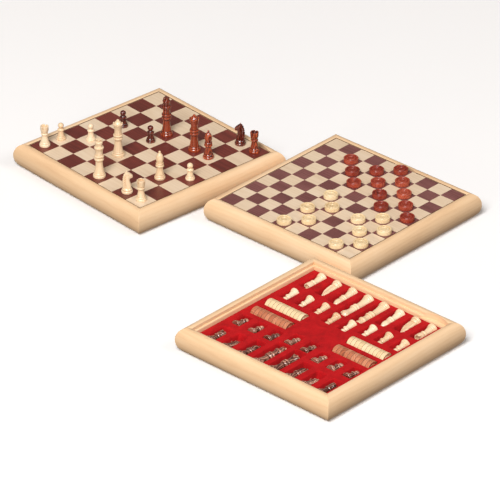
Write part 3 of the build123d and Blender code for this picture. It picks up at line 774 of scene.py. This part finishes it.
def insert_mesh():
    half = INSERT / 2
    xe, ye = [], []
    for s, u0, u1, v, w, f, slope in POCKETS:
        xe += [(s * u0, s), (s * u1, -s)]
        ye += [(v - w / 2, 1), (v + w / 2, -1)]
    steps = (-0.35, 0.0, 0.4, 0.9, 1.5, 2.2)
    xs = set(lines(xe, steps, -half, half, 7.0))
    for t in (-1, 1):
        for d in (0, 2.5, 5, 7.2, 9, 10.4, 11.4, 12.1, 12.5, 12.8):
            for q in (-1, 1):
                xs.add(round(t * TROUGH_X + q * d, 4))
    for s in (-1, 1):
        for t in (3.2, 4.2, 5.2, 6.2, 7.2, 8.2, 9.5):
            xs.add(round(s * (84.0 + t), 4))
    ys = set(lines(ye, steps, -half, half, 7.0))
    for s in (-1, 1):
        for e, q in ((TROUGH_IN, 1), (TROUGH_OUT, -1)):
            for t in (-0.3, 0.0, 0.35, 0.8, 1.4):
                ys.add(round(s * (e + q * t), 4))
    for c in (xs, ys):
        for e in (0.0, 0.25, 0.7):
            c |= {half - e, -half + e}

    def thin(c):
        c = sorted(c)
        out = [c[0]]
        for x in c[1:]:
            if x - out[-1] > 0.11:
                out.append(x)
        out[-1] = c[-1]
        return np.array(out)

    xs, ys = thin(xs), thin(ys)
    X, Y = np.meshgrid(xs, ys, indexing="ij")
    Z = np.full(X.shape, INSERT_TOP)
    for s, u0, u1, v, w, f, slope in POCKETS:
        u = s * X
        tin, tout = (u - u0) / slope, (u1 - u) / 1.0
        side = (w / 2 - np.abs(Y - v)) / 2.1
        t = np.minimum(np.minimum(tin, tout), side)
        # soft corners
        k = 0.55
        q = np.exp(-np.minimum(tin, 4) / k) + np.exp(-np.minimum(tout, 4) / k) + np.exp(-np.minimum(side, 4) / k)
        soft = -k * np.log(q)
        t = np.where(t > 0, np.maximum(soft, 0) * 1.0, -1)
        Z = np.minimum(Z, INSERT_TOP - (INSERT_TOP - f) * ease(t))
    r = TROUGH_W / 2
    for a in (-1, 1):
        for b in (-1, 1):
            dx = np.abs(X - a * TROUGH_X)
            y = b * Y
            deep = DISC_AXIS_Z - np.sqrt(np.maximum(r * r - dx * dx, 0))
            t = np.minimum(np.minimum((y - TROUGH_IN) / 1.0, (TROUGH_OUT - y) / 1.0), (r - dx) / 0.5)
            Z = np.where(t > 0, np.minimum(Z, INSERT_TOP - (INSERT_TOP - deep) * ease(t)), Z)
    # rolled outer edge
    e = half - np.maximum(np.abs(X), np.abs(Y))
    Z = Z - np.where(e < 0.7, 0.7 - np.sqrt(np.maximum(0.49 - (0.7 - e) ** 2, 0)), 0)
    n, m = X.shape
    top = np.stack([X, Y, Z], -1).reshape(-1, 3)
    k = (half - SHEET) / half
    low = np.stack([X * k, Y * k, Z - SHEET], -1).reshape(-1, 3)
    ring = ([(i, 0) for i in range(n)] + [(n - 1, j) for j in range(1, m)]
            + [(i, m - 1) for i in range(n - 2, -1, -1)] + [(0, j) for j in range(m - 2, 0, -1)])
    ids = [i * m + j for i, j in ring]
    off = n * m
    faces = []
    for i in range(n - 1):
        for j in range(m - 1):
            q = (i * m + j, (i + 1) * m + j, (i + 1) * m + j + 1, i * m + j + 1)
            faces.append(q)
            faces.append(tuple(off + x for x in reversed(q)))
    skirt_out = top[ids].copy()
    skirt_out[:, 2] = PANEL_T + 0.15
    skirt_in = low[ids].copy()
    skirt_in[:, 2] = PANEL_T + 0.15
    pts = np.vstack([top, low, skirt_out, skirt_in])
    a0, b0, L = 2 * off, 2 * off + len(ids), len(ids)
    for x in range(L):
        y = (x + 1) % L
        faces.append((ids[x], a0 + x, a0 + y, ids[y]))
        faces.append((a0 + x, b0 + x, b0 + y, a0 + y))
        faces.append((b0 + x, off + ids[x], off + ids[y], b0 + y))
    return pts, faces


ins_pts, ins_faces = insert_mesh()
for i, unit in enumerate(UNITS):
    piece = build(f"{unit}_flocked_insert", [(ins_pts, ins_faces, ground(unit), 0.31 * (i + 1))], FLOCK, 70)
    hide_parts(f"{unit}_insert")
    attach(piece, f"{unit}_case")


# ---------------------------------------------------------------------------
# Men
# ---------------------------------------------------------------------------
def foot(r, k):
    return [(0, 0), (r - 0.5, 0, 0.2), (r, 0.6, 0.35), (r, 3.9 * k, 0.7), (r - 0.8, 4.85 * k, 0.5),
            (r - 1.55, 5.3 * k, 0.1), (r - 1.1, 5.95 * k, 0.35), (r - 1.2, 7.6 * k, 0.9), (r - 2.3, 8.8 * k, 0.5)]


PROFILES = {
    "king": foot(10.5, 1.0) + [
        [(7.4, 13.0), (6.2, 21.0), (5.8, 30.0)], (6.1, 30.2, 0.1), (6.6, 30.6, 0.2), (7.8, 31.7, 0.5),
        (8.05, 33.2, 0.7), (7.3, 34.8, 0.5), (6.3, 35.2, 0.12), (6.25, 36.5, 0.15), (7.85, 37.3, 0.6),
        (8.2, 38.8, 0.8), (7.5, 40.5, 0.6), (6.4, 41.1, 0.15), [(6.1, 45.0), (6.5, 49.5), (7.7, 52.8)],
        (8.1, 54.2, 0.5), (7.4, 55.6, 0.5), (5.9, 56.1, 0.12), (5.6, 57.3, 0.3), (5.7, 59.4, 0.8),
        (6.15, 62.4, 0.6), (6.4, 64.0, 0.4), (5.9, 65.1, 0.5), (4.6, 65.5, 0.12), (4.5, 66.2, 0.15),
        (5.2, 67.0, 0.3), (5.6, 69.3, 0.3), (5.3, 70.0, 0.2), (0, 70.0)],
    "queen": foot(10.5, 1.0) + [
        [(7.3, 13.0), (6.1, 21.0), (5.6, 29.0)], (5.9, 29.2, 0.1), (6.4, 29.6, 0.2), (7.6, 30.7, 0.5),
        (7.9, 32.1, 0.7), (7.2, 33.7, 0.5), (6.2, 34.1, 0.12), (6.15, 35.4, 0.15), (7.7, 36.2, 0.6),
        (8.0, 37.7, 0.8), (7.3, 39.3, 0.6), (6.2, 39.9, 0.15), [(5.8, 44.5), (6.1, 49.5), (7.1, 54.0), (8.3, 58.3)],
        (8.4, 59.6, 0.25), (7.7, 60.0, 0.2), (6.4, 59.4, 0.3), (5.7, 60.5, 0.5), (4.5, 62.4, 0.7),
        (2.7, 63.5, 0.3), (2.1, 63.9, 0.12), (2.5, 64.6, 0.4), (2.4, 65.4, 0.4), (1.5, 66.1, 0.4), (0, 66.3)],
    "bishop": foot(9.25, 0.92) + [
        [(6.2, 12.0), (5.2, 17.0), (4.9, 21.5)], (5.2, 21.7, 0.1), (5.8, 22.1, 0.2), (6.85, 23.0, 0.5),
        (7.0, 24.4, 0.7), (6.3, 25.8, 0.5), (5.3, 26.2, 0.12), (5.25, 27.2, 0.15), (6.3, 27.9, 0.4),
        (6.5, 28.9, 0.5), (5.3, 30.1, 0.25), [(5.7, 32.6), (6.25, 35.9), (6.1, 39.0), (5.0, 42.9), (3.2, 45.8), (1.7, 47.1)],
        (1.4, 47.5, 0.1), (2.05, 48.3, 0.4), (2.0, 49.4, 0.5), (1.3, 50.5, 0.5), (0, 50.8)],
    "rook": foot(9.0, 0.90) + [
        [(6.0, 11.5), (5.0, 16.0), (4.6, 20.5)], (4.95, 20.7, 0.1), (5.6, 21.1, 0.25), (6.3, 21.9, 0.4),
        (6.2, 23.3, 0.5), (5.1, 23.9, 0.12), (5.1, 25.0, 0.5), (6.1, 26.9, 0.4), (6.5, 28.6, 0.4),
        (6.5, 30.0, 0.15), (6.8, 30.3, 0.1), (6.95, 34.8), (7.0, 36.6, 0.25), (6.7, 37.0, 0.2), (5.15, 37.0, 0.2),
        (4.95, 36.7, 0.2), (4.95, 34.8), (4.85, 34.0, 0.3), (0, 33.9)],
    "pawn": foot(8.0, 0.78) + [
        [(5.2, 9.5), (4.6, 12.5), (4.3, 15.6)], (4.6, 15.8, 0.1), (5.2, 16.2, 0.25), (5.95, 17.1, 0.4),
        (5.75, 18.5, 0.5), (4.0, 19.5, 0.12), (3.3, 20.6, 0.3)] + [
        (4.9 * math.sin(math.radians(a)), 25.1 - 4.9 * math.cos(math.radians(a)), 0)
        for a in range(44, 174, 8)] + [(0, 30.0)],
}


def king_shape(r, z, th, tag):
    w = ease((z - 65.9) / 0.6)
    sq = 1.0 / (np.abs(np.cos(th)) ** 7 + np.abs(np.sin(th)) ** 7) ** (1 / 7)
    # a block finial with a shallow V in each face
    vee = 1 - 0.14 * np.maximum(0, np.cos(4 * th)) ** 2 * ease((z - 66.6) / 0.8)
    return r * (1 + w * (sq * 0.78 * vee - 1)), z


def queen_shape(r, z, th, tag):
    w = ease((r - 6.4) / 1.0) * ease((z - 56.8) / 1.8)
    dip = (0.5 + 0.5 * np.cos(8 * th)) ** 1.6
    return r - 0.25 * w * dip, z - 1.5 * w * dip


def rook_shape(r, z, th, tag):
    low = (tag == 1) & (z > 34.8)
    return r, np.where(low, 34.8, z)


def rook_angles():
    out, g = [], math.radians(11.0)
    for q in range(4):
        c = q * math.pi / 2
        for k in range(5):
            out.append((c - g + 2 * g * k / 4, 1))
        for k in range(8):
            out.append((c + g + 0.004 + (math.pi / 2 - 2 * g - 0.008) * k / 7, 0))
    return out


def slit(mesh_pts, mesh_faces):
    """The bishop's slanting cut, made with a thin wedge."""
    me = bpy.data.meshes.new("mitre")
    me.from_pydata([tuple(p) for p in mesh_pts], [], mesh_faces)
    ob = bpy.data.objects.new("mitre", me)
    cut = bpy.data.meshes.new("cut")
    q = [(2.0, 38.1), (10.0, 43.4), (9.4, 44.5), (1.6, 39.0)]
    v = [(x, -9, z) for x, z in q] + [(x, 9, z) for x, z in q]
    f = [(3, 2, 1, 0), (4, 5, 6, 7), (0, 1, 5, 4), (1, 2, 6, 5), (2, 3, 7, 6), (3, 0, 4, 7)]
    cut.from_pydata(v, [], f)
    co = bpy.data.objects.new("cut", cut)
    for o in (ob, co):
        bpy.context.scene.collection.objects.link(o)
    m = ob.modifiers.new("b", "BOOLEAN")
    m.operation, m.object, m.solver = "DIFFERENCE", co, "EXACT"
    dg = bpy.context.evaluated_depsgraph_get()
    e = ob.evaluated_get(dg).to_mesh()
    pts = np.array([tuple(x.co) for x in e.vertices])
    faces = [tuple(p.vertices) for p in e.polygons]
    ob.evaluated_get(dg).to_mesh_clear()
    for o in (ob, co):
        bpy.data.objects.remove(o)
    bpy.data.meshes.remove(me)
    bpy.data.meshes.remove(cut)
    return pts, faces


def poly_distance(px, pz, poly):
    """Signed distance to a closed polygon, negative inside."""
    d = np.full(px.shape, 1e9)
    inside = np.zeros(px.shape, bool)
    n = len(poly)
    for i in range(n):
        ax, az = poly[i]
        bx, bz = poly[(i + 1) % n]
        ex, ez = bx - ax, bz - az
        wx, wz = px - ax, pz - az
        t = np.clip((wx * ex + wz * ez) / (ex * ex + ez * ez), 0, 1)
        d = np.minimum(d, (wx - ex * t) ** 2 + (wz - ez * t) ** 2)
        cross = ((az > pz) != (bz > pz)) & (px < ex * (pz - az) / (ez if ez else 1e-9) + ax)
        inside ^= cross
    d = np.sqrt(d)
    return np.where(inside, -d, d)


def knight_mesh(h=0.38):
    lo, hi = np.array([-11.0, -10.6, -0.8]), np.array([11.0, 10.6, 40.4])
    n = np.ceil((hi - lo) / h).astype(int)
    x = lo[0] + h * np.arange(n[0])
    y = lo[1] + h * np.arange(n[1])
    z = lo[2] + h * np.arange(n[2])
    X, Y, Z = np.meshgrid(x, y, z, indexing="ij")
    R = np.sqrt(X * X + Y * Y)
    A = np.abs(Y)
    base = outline(foot(9.4, 0.94) + [(6.7, 8.9, 0.3), (6.2, 9.5, 0.3), (0, 9.7)])
    rr, zz = np.meshgrid(np.arange(0, 16, 0.2), np.arange(-2, 42, 0.2), indexing="ij")
    bd = poly_distance(rr, zz, [tuple(p) for p in base])

    def sample(a, b):
        i = np.clip(a / 0.2, 0, rr.shape[0] - 1.001)
        j = np.clip((b + 2) / 0.2, 0, rr.shape[1] - 1.001)
        i0, j0 = i.astype(int), j.astype(int)
        fi, fj = i - i0, j - j0
        return ((bd[i0, j0] * (1 - fi) + bd[i0 + 1, j0] * fi) * (1 - fj)
                + (bd[i0, j0 + 1] * (1 - fi) + bd[i0 + 1, j0 + 1] * fi) * fj)

    d_foot = sample(R, Z)
    px, pz = np.meshgrid(x, z, indexing="ij")

    def slab(poly, thick, rnd):
        d2 = poly_distance(px, pz, poly)[:, None, :]
        a, b = d2 + rnd, A - thick + rnd
        return np.sqrt(np.maximum(a, 0) ** 2 + np.maximum(b, 0) ** 2) + np.minimum(np.maximum(a, b), 0) - rnd

    def union(a, b, k):
        t = np.clip(0.5 + 0.5 * (b - a) / k, 0, 1)
        return b * (1 - t) + a * t - k * t * (1 - t)

    neck_poly = curve([(6.3, 8.4), (6.4, 11.0), (6.1, 14.6), (5.2, 18.4), (4.3, 22.0), (4.4, 25.2), (4.8, 28.6),
                       (4.2, 32.8), (1.8, 35.7), (-0.6, 36.7), (-3.0, 34.8), (-5.1, 31.2), (-6.6, 26.4),
                       (-7.2, 20.0), (-7.1, 13.6), (-6.4, 8.4)], 3)
    head_poly = curve([(-2.2, 32.4), (-0.8, 36.0), (1.2, 36.5), (3.6, 35.5), (6.2, 33.9), (8.3, 32.2), (9.4, 30.3),
                       (9.3, 28.2), (8.3, 27.1), (6.8, 26.9), (5.4, 26.2), (4.2, 24.6), (2.4, 23.8), (0.2, 24.0),
                       (-1.6, 26.8)], 3)
    t_neck = np.interp(Z, [8, 14, 24, 34, 38], [4.7, 4.6, 4.2, 3.4, 2.6])
    t_head = np.interp(X, [-2, 2, 5, 9.5], [3.2, 3.9, 3.4, 2.7])
    d = slab(neck_poly, t_neck, 2.3)
    head = slab(head_poly, t_head, 1.5)
    cheek = np.sqrt(((X - 2.2) / 3.5) ** 2 + (A / 4.35) ** 2 + ((Z - 28.9) / 4.0) ** 2)
    cheek = (cheek - 1) * 3.5
    head = union(head, cheek, 0.8)
    d = union(d, head, 0.7)
    # ears
    for s in (1,):
        t = np.clip((Z - 34.6) / 4.3, 0, 1)
        ex, ey = -0.1 - 0.9 * t, 1.95 + 0.15 * t
        rad = np.interp(t, [0, 0.45, 1], [1.55, 1.3, 0.2])
        ear = np.sqrt(((X - ex) / 1.15) ** 2 + (A - ey) ** 2) - rad
        ear = np.maximum(ear, np.maximum(34.0 - Z, Z - 38.95))
        inner = np.sqrt((X - ex - 0.95) ** 2 + (A - ey) ** 2) - rad * 0.62
        ear = np.maximum(ear, -np.maximum(inner, 35.8 - Z))
        d = union(d, ear, 0.45)
    # crest of the mane, scalloped along the back
    crest = [(-1.4, 36.9), (-3.4, 35.0), (-5.2, 31.8), (-6.3, 28.3), (-6.9, 24.7), (-7.3, 21.0), (-7.35, 17.2), (-7.1, 13.6)]
    for i, (cx, cz) in enumerate(crest[1:]):
        lock = np.sqrt((X - cx - 0.9) ** 2 + (A * 0.62) ** 2 + ((Z - cz) / 1.45) ** 2) - 1.35
        d = union(d, lock, 0.35)
    # carved lines of the mane on both flanks
    t_here = t_neck
    for i in range(8):
        z0 = 33.6 - 2.9 * i
        x0 = float(np.interp(z0, [12, 18, 24, 30, 35], [-7.2, -7.4, -7.0, -5.7, -3.1]))
        x1, z1 = x0 + 4.3, z0 - 2.4
        ex, ez = x1 - x0, z1 - z0
        t = np.clip(((X - x0) * ex + (Z - z0) * ez) / (ex * ex + ez * ez), 0, 1)
        g = np.sqrt((X - x0 - ex * t) ** 2 + (Z - z0 - ez * t + 0.9 * t * (1 - t)) ** 2) - 0.34
        g = np.maximum(g, t_here * (1 - 0.10) - 0.55 - A)
        d = np.maximum(d, -g)
    # line along the mane's front, behind the cheek and down the neck
    path = [(-1.6, 34.8), (-2.3, 31.4), (-2.8, 28.0), (-3.0, 24.2), (-2.9, 20.4), (-2.3, 16.8), (-1.4, 13.6)]
    for (ax, az), (bx, bz) in zip(path, path[1:]):
        ex, ez = bx - ax, bz - az
        t = np.clip(((X - ax) * ex + (Z - az) * ez) / (ex * ex + ez * ez), 0, 1)
        g = np.sqrt((X - ax - ex * t) ** 2 + (Z - az - ez * t) ** 2) - 0.36
        g = np.maximum(g, t_here - 0.55 - A)
        d = np.maximum(d, -g)
    # eye in its socket, nostril, mouth
    socket = np.sqrt((X - 3.9) ** 2 + ((A - 3.95) * 1.0) ** 2 + (Z - 32.7) ** 2) - 1.3
    d = np.maximum(d, -socket)
    d = np.minimum(d, np.sqrt((X - 3.9) ** 2 + (A - 3.15) ** 2 + (Z - 32.6) ** 2) - 0.8)
    nostril = np.sqrt((X - 8.4) ** 2 + (A - 2.6) ** 2 + ((Z - 30.1) * 0.8) ** 2) - 0.7
    d = np.maximum(d, -nostril)
    mx, mz = X - 9.6, Z - 28.5
    g = np.sqrt(mx**2 * 0 + (mz + 0.14 * mx) ** 2) - 0.27
    g = np.maximum(g, 6.3 - X)
    d = np.maximum(d, -g)
    # the turned foot joined under the neck, and nothing left below the base
    d = union(d, d_foot, 0.5)
    d = np.maximum(d, -Z)
    pts, faces = surface_nets(d, lo, h)
    return pts, faces


SHAPES = {
    "king": lathe(outline(PROFILES["king"]), 48, king_shape),
    "queen": lathe(outline(PROFILES["queen"]), 64, queen_shape),
    "bishop": slit(*lathe(outline(PROFILES["bishop"]), 44)),
    "rook": lathe(outline(PROFILES["rook"]), shape=rook_shape, angles=rook_angles()),
    "pawn": lathe(outline(PROFILES["pawn"]), 40),
    "knight": knight_mesh(0.38),
}
DISC = lathe(outline([
    (0, 0.9), (3.5, 0.9, 0.2), (4.1, 0.3, 0.3), (6.9, 0.3, 0.3), (7.5, 0.9, 0.2), (9.2, 0.9, 0.2),
    (9.8, 0.0, 0.3), (11.75, 0.0, 0.3), (12.25, 0.5, 0.3), (12.25, 7.0, 0.3), (11.75, 7.5, 0.3),
    (9.95, 7.5, 0.25), (9.35, 6.3, 0.15), (7.95, 6.3, 0.15), (7.4, 7.1, 0.25), (4.8, 7.1, 0.25), (4.2, 6.3, 0.15),
    (0, 6.4)]), 56)


def spot(unit, u, v, z, turn=0.0):
    x, y, yaw = UNITS[unit]
    a = math.radians(yaw)
    return shift(x + u * math.cos(a) - v * math.sin(a), y + u * math.sin(a) + v * math.cos(a), z) \
        @ rot("Z", yaw + turn)


STANDING = {
    "light_king": ("king", [(0, 3, 0)]), "light_queen": ("queen", [(2, 4, 0)]),
    "light_bishop": ("bishop", [(2, 1, -60)]), "light_knight": ("knight", [(0, 1, -40)]),
    "light_rooks": ("rook", [(0, 0, 10), (0, 7, 30)]),
    "light_pawns": ("pawn", [(3, 0, 0), (1, 7, 0), (2, 6, 0)]),
    "dark_king": ("king", [(5, 4, 20)]), "dark_queen": ("queen", [(5, 2, 0)]),
    "dark_bishop": ("bishop", [(5, 1, 100)]), "dark_knight": ("knight", [(7, 1, 150)]),
    "dark_rook": ("rook", [(7, 0, 25)]), "dark_pawns": ("pawn", [(4, 4, 0), (4, 6, 0)]),
}
count = 0


def men(name, node, parts, dark, disc=False, painted_gap_shade=None):
    kept = name.startswith("stored")
    # men kept in the tray take the copies of the dark woods with painted light
    if disc:
        mat = (DARK_ROW if kept else DARK_DISC) if dark else LIGHT_DISC
    else:
        mat = (DARK_KEPT if kept else DARK_MEN) if dark else LIGHT_MEN
    ob = build(name, parts, mat, 42, painted_gap_shade=painted_gap_shade)
    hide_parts(node)
    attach(ob, node)
    return ob


def tone():
    global count
    count += 1
    return round((0.11 + 0.61803 * count) % 1.0, 5)


# how pale the wood came out on single men
SHADE = {"dark_king": 0.55, "dark_queen": 0.85, "dark_bishop": 0.6, "dark_knight": 0.2, "dark_rook": 0.5,
         "dark_pawns": 0.05, "light_bishop": 0.0, "light_king": 0.45, "light_queen": 0.4}
for node, (kind, places) in STANDING.items():
    parts = []
    for i, j, turn in places:
        u, v = (i + 0.5) * BOARD / 8 - BOARD / 2, (j + 0.5) * BOARD / 8 - BOARD / 2
        t = tone()
        parts.append((*SHAPES[kind], spot("chess", u, v, BOARD_TOP, turn), SHADE.get(node, t) + 0.06 * t))
    men(f"{node}_turned", node, parts, node.startswith("dark"))

DRAUGHTS = {
    "light_draughtsmen": [(0, 5), (2, 5), (4, 5), (1, 4), (3, 4), (3, 2), (0, 1), (2, 1), (4, 1), (1, 0), (3, 0)],
    "dark_draughtsmen": [(8, 7), (7, 6), (6, 5), (8, 5), (7, 4), (9, 4), (6, 3), (8, 3), (5, 2), (7, 2), (6, 1), (5, 0)],
}
for node, places in DRAUGHTS.items():
    parts = []
    for i, j in places:
        u, v = (i + 0.5) * BOARD / 10 - BOARD / 2, (j + 0.5) * BOARD / 10 - BOARD / 2
        t = tone()
        parts.append((*DISC, spot("draughts", u, v, BOARD_TOP, 360 * t), t))
    men(f"{node}_turned", node, parts, node.startswith("dark"), True)

FOOT_AT = 133.8
STEM = {
    "king": (1.0, [(7.4, 13.0), (6.2, 21.0), (5.8, 30.0), (6.6, 30.6), (7.9, 32.0), (8.0, 33.8), (7.2, 35.0),
                   (6.4, 35.4), (6.4, 36.4), (8.0, 37.6), (8.2, 39.4), (7.4, 40.8), (6.5, 41.4), (6.2, 45.0),
                   (6.6, 49.5), (7.8, 52.6), (8.1, 54.4), (7.3, 55.8), (6.0, 56.4), (5.7, 58.6), (6.1, 62.2),
                   (6.4, 64.2), (5.9, 65.2), (4.7, 65.6), (4.7, 66.4), (5.3, 67.4), (5.6, 69.4), (5.2, 70.0)]),
    "queen": (1.0, [(7.3, 13.0), (6.1, 21.0), (5.6, 29.0), (6.4, 29.6), (7.7, 30.9), (7.9, 32.6), (7.1, 33.9),
                    (6.3, 34.3), (6.3, 35.3), (7.8, 36.5), (8.0, 38.2), (7.2, 39.6), (6.3, 40.2), (5.9, 44.5),
                    (6.2, 49.5), (7.2, 54.0), (8.4, 58.4), (8.4, 59.8), (7.3, 60.2), (6.0, 60.4), (5.0, 61.6)]),
    "bishop": (0.92, [(6.9, 23.3), (7.0, 24.9), (6.2, 26.0), (6.4, 28.2), (6.5, 29.4), (5.4, 30.3), (5.8, 33.0),
                      (6.3, 36.2), (6.1, 39.2), (5.0, 43.0), (3.2, 45.8)]),
    "rook": (0.90, [(6.3, 22.2), (6.2, 23.4), (5.2, 25.0), (6.2, 27.0), (6.6, 29.5), (7.0, 36.4), (6.6, 37.0)]),
    "pawn": (0.78, [(5.2, 16.2), (6.0, 17.3), (5.6, 18.7), (4.0, 19.5)]
             + [(4.9 * math.sin(math.radians(a)), 25.1 + 4.9 * math.cos(math.radians(a))) for a in range(20, 120, 5)]),
    "knight": (0.94, [(4.4, 39.0), (4.4, 27.0)]),
}


def lying(kind, s, u, v, roll):
    r = SIZES[kind][1]
    k, points = STEM[kind]
    edge = 4.0 * k
    slope = min((r - pr) / (ph - edge) for pr, ph in points if ph > 15.0)
    tilt = math.atan(slope)
    z = FLOOR[kind] + FLOAT + r * math.cos(tilt) + edge * math.sin(tilt)
    return (spot("tray", s * u, v, z, 180 if s > 0 else 0)
            @ rot("Y", 90 + math.degrees(tilt)) @ rot("Z", roll))


STORED = {
    "king": lambda s: [(FOOT_AT, 0.5 * ROW * (1 if s < 0 else -1))],
    "queen": lambda s: [(FOOT_AT, 0.5 * ROW * (-1 if s < 0 else 1))],
    "bishops": lambda s: [(FOOT_AT, v * ROW) for v in (1.5, -1.5)],
    "knights": lambda s: [(FOOT_AT, v * ROW) for v in (2.5, -2.5)],
    "rooks": lambda s: [(FOOT_AT, v * ROW) for v in (3.5, -3.5)],
    "pawns": lambda s: [(58.7, v * ROW) for v in (0.5, -0.5)]
    + [(70.2, v * ROW) for v in (1.5, -1.5, 2.5, -2.5, 3.5, -3.5)],
}
for shade, s in (("dark", -1), ("light", 1)):
    for plural, places in STORED.items():
        kind = plural.rstrip("s")
        parts = []
        for n, (u, v) in enumerate(places(s)):
            roll = {"knight": 90.0, "rook": 17.0 + 30 * n, "bishop": 60.0 + 70 * n}.get(kind, 0.0)
            t = tone()
            parts.append((*SHAPES[kind], lying(kind, s, u, v, roll), t))
        men(f"stored_{shade}_{plural}_turned", f"stored_{shade}_{plural}", parts, shade == "dark")
    for end, t in (("back", 1), ("front", -1)):
        parts = []
        for n in range(10):
            v = TROUGH_IN + 1.2 + n * (DISC_T + 0.06)
            tn = tone()
            parts.append((*DISC, spot("tray", s * TROUGH_X, t * v, DISC_AXIS_Z) @ rot("X", -90 * t)
                          @ rot("Z", 360 * tn), tn))
        # painted shade: the rims of men that stand face to face are darkened, where the gaps between them lie in shade
        men(f"stored_{shade}_draughtsmen_{end}_turned", f"stored_{shade}_draughtsmen_{end}", parts,
            shade == "dark", True, lambda p: ((np.hypot(p[:, 0], p[:, 1]) > 11.3)
                                              & (np.abs(p[:, 2] - DISC_T / 2) > DISC_T / 2 - 0.3)).astype(float))

# ---------------------------------------------------------------------------
# Stage, lights and camera
# ---------------------------------------------------------------------------
scene = bpy.context.scene
scene.view_settings.view_transform = "Standard"
scene.view_settings.look = "None"
scene.view_settings.exposure = 0.0
scene.view_settings.gamma = 1.0

f = Finish("stage_floor", Specular_IOR_Level=0.1)
f.finish(rgb(254, 254, 255), 0.95)
me = bpy.data.meshes.new("floor")
me.from_pydata([(-9, -9, -0.0006), (9, -9, -0.0006), (9, 9, -0.0006), (-9, 9, -0.0006)], [], [(0, 1, 2, 3)])
me.materials.append(f.mat)
floor = bpy.data.objects.new("floor", me)
floor.visible_glossy = False
floor.visible_diffuse = False                  # black flags round the set: no light comes up from the floor
scene.collection.objects.link(floor)

world = bpy.data.worlds.new("studio")
world.use_nodes = True
world.node_tree.nodes["Background"].inputs["Color"].default_value = (1.0, 0.87, 0.76, 1)
world.node_tree.nodes["Background"].inputs["Strength"].default_value = 0.235
scene.world = world

AHEAD = Vector((0.7343, 0.6788, 0.0))           # the way the camera looks, level
RIGHT = Vector((0.6788, -0.7343, 0.0))
AIM = Vector((-0.066, -0.063, 0.042))


def area(name, where, size, power, colour=(1, 1, 1)):
    data = bpy.data.lights.new(name, "AREA")
    data.shape, data.size, data.energy, data.color = "SQUARE", size, power, colour
    ob = bpy.data.objects.new(name, data)
    ob.location = where
    ob.rotation_euler = (Vector((0, 0, 0.02)) - Vector(where)).to_track_quat("-Z", "Y").to_euler()
    scene.collection.objects.link(ob)


def toward(azimuth, elevation, distance):
    a, b = math.radians(azimuth), math.radians(elevation)
    return Vector((math.cos(a) * math.cos(b), math.sin(a) * math.cos(b), math.sin(b))) * distance


# a large soft light from the front left, a low warm one under it, a weak one from the right
area("key", toward(206, 47, 9.0), 3.8, 830, (1.0, 0.997, 0.992))
area("low", toward(198, 11, 8.0), 2.6, 95, (1.0, 0.88, 0.74))
area("fill", toward(285, 42, 9.0), 3.0, 120, (0.96, 0.98, 1.0))

cam = bpy.data.cameras.new("camera")
cam.lens, cam.sensor_width = 360.0, 36.0
cam.clip_start, cam.clip_end = 0.1, 50.0
camera = bpy.data.objects.new("camera", cam)
e = math.radians(29.9)
look = AHEAD * math.cos(e) + Vector((0, 0, -math.sin(e)))
camera.location = AIM - look * 7.95
camera.rotation_euler = look.to_track_quat("-Z", "Y").to_euler()
scene.collection.objects.link(camera)
scene.camera = camera
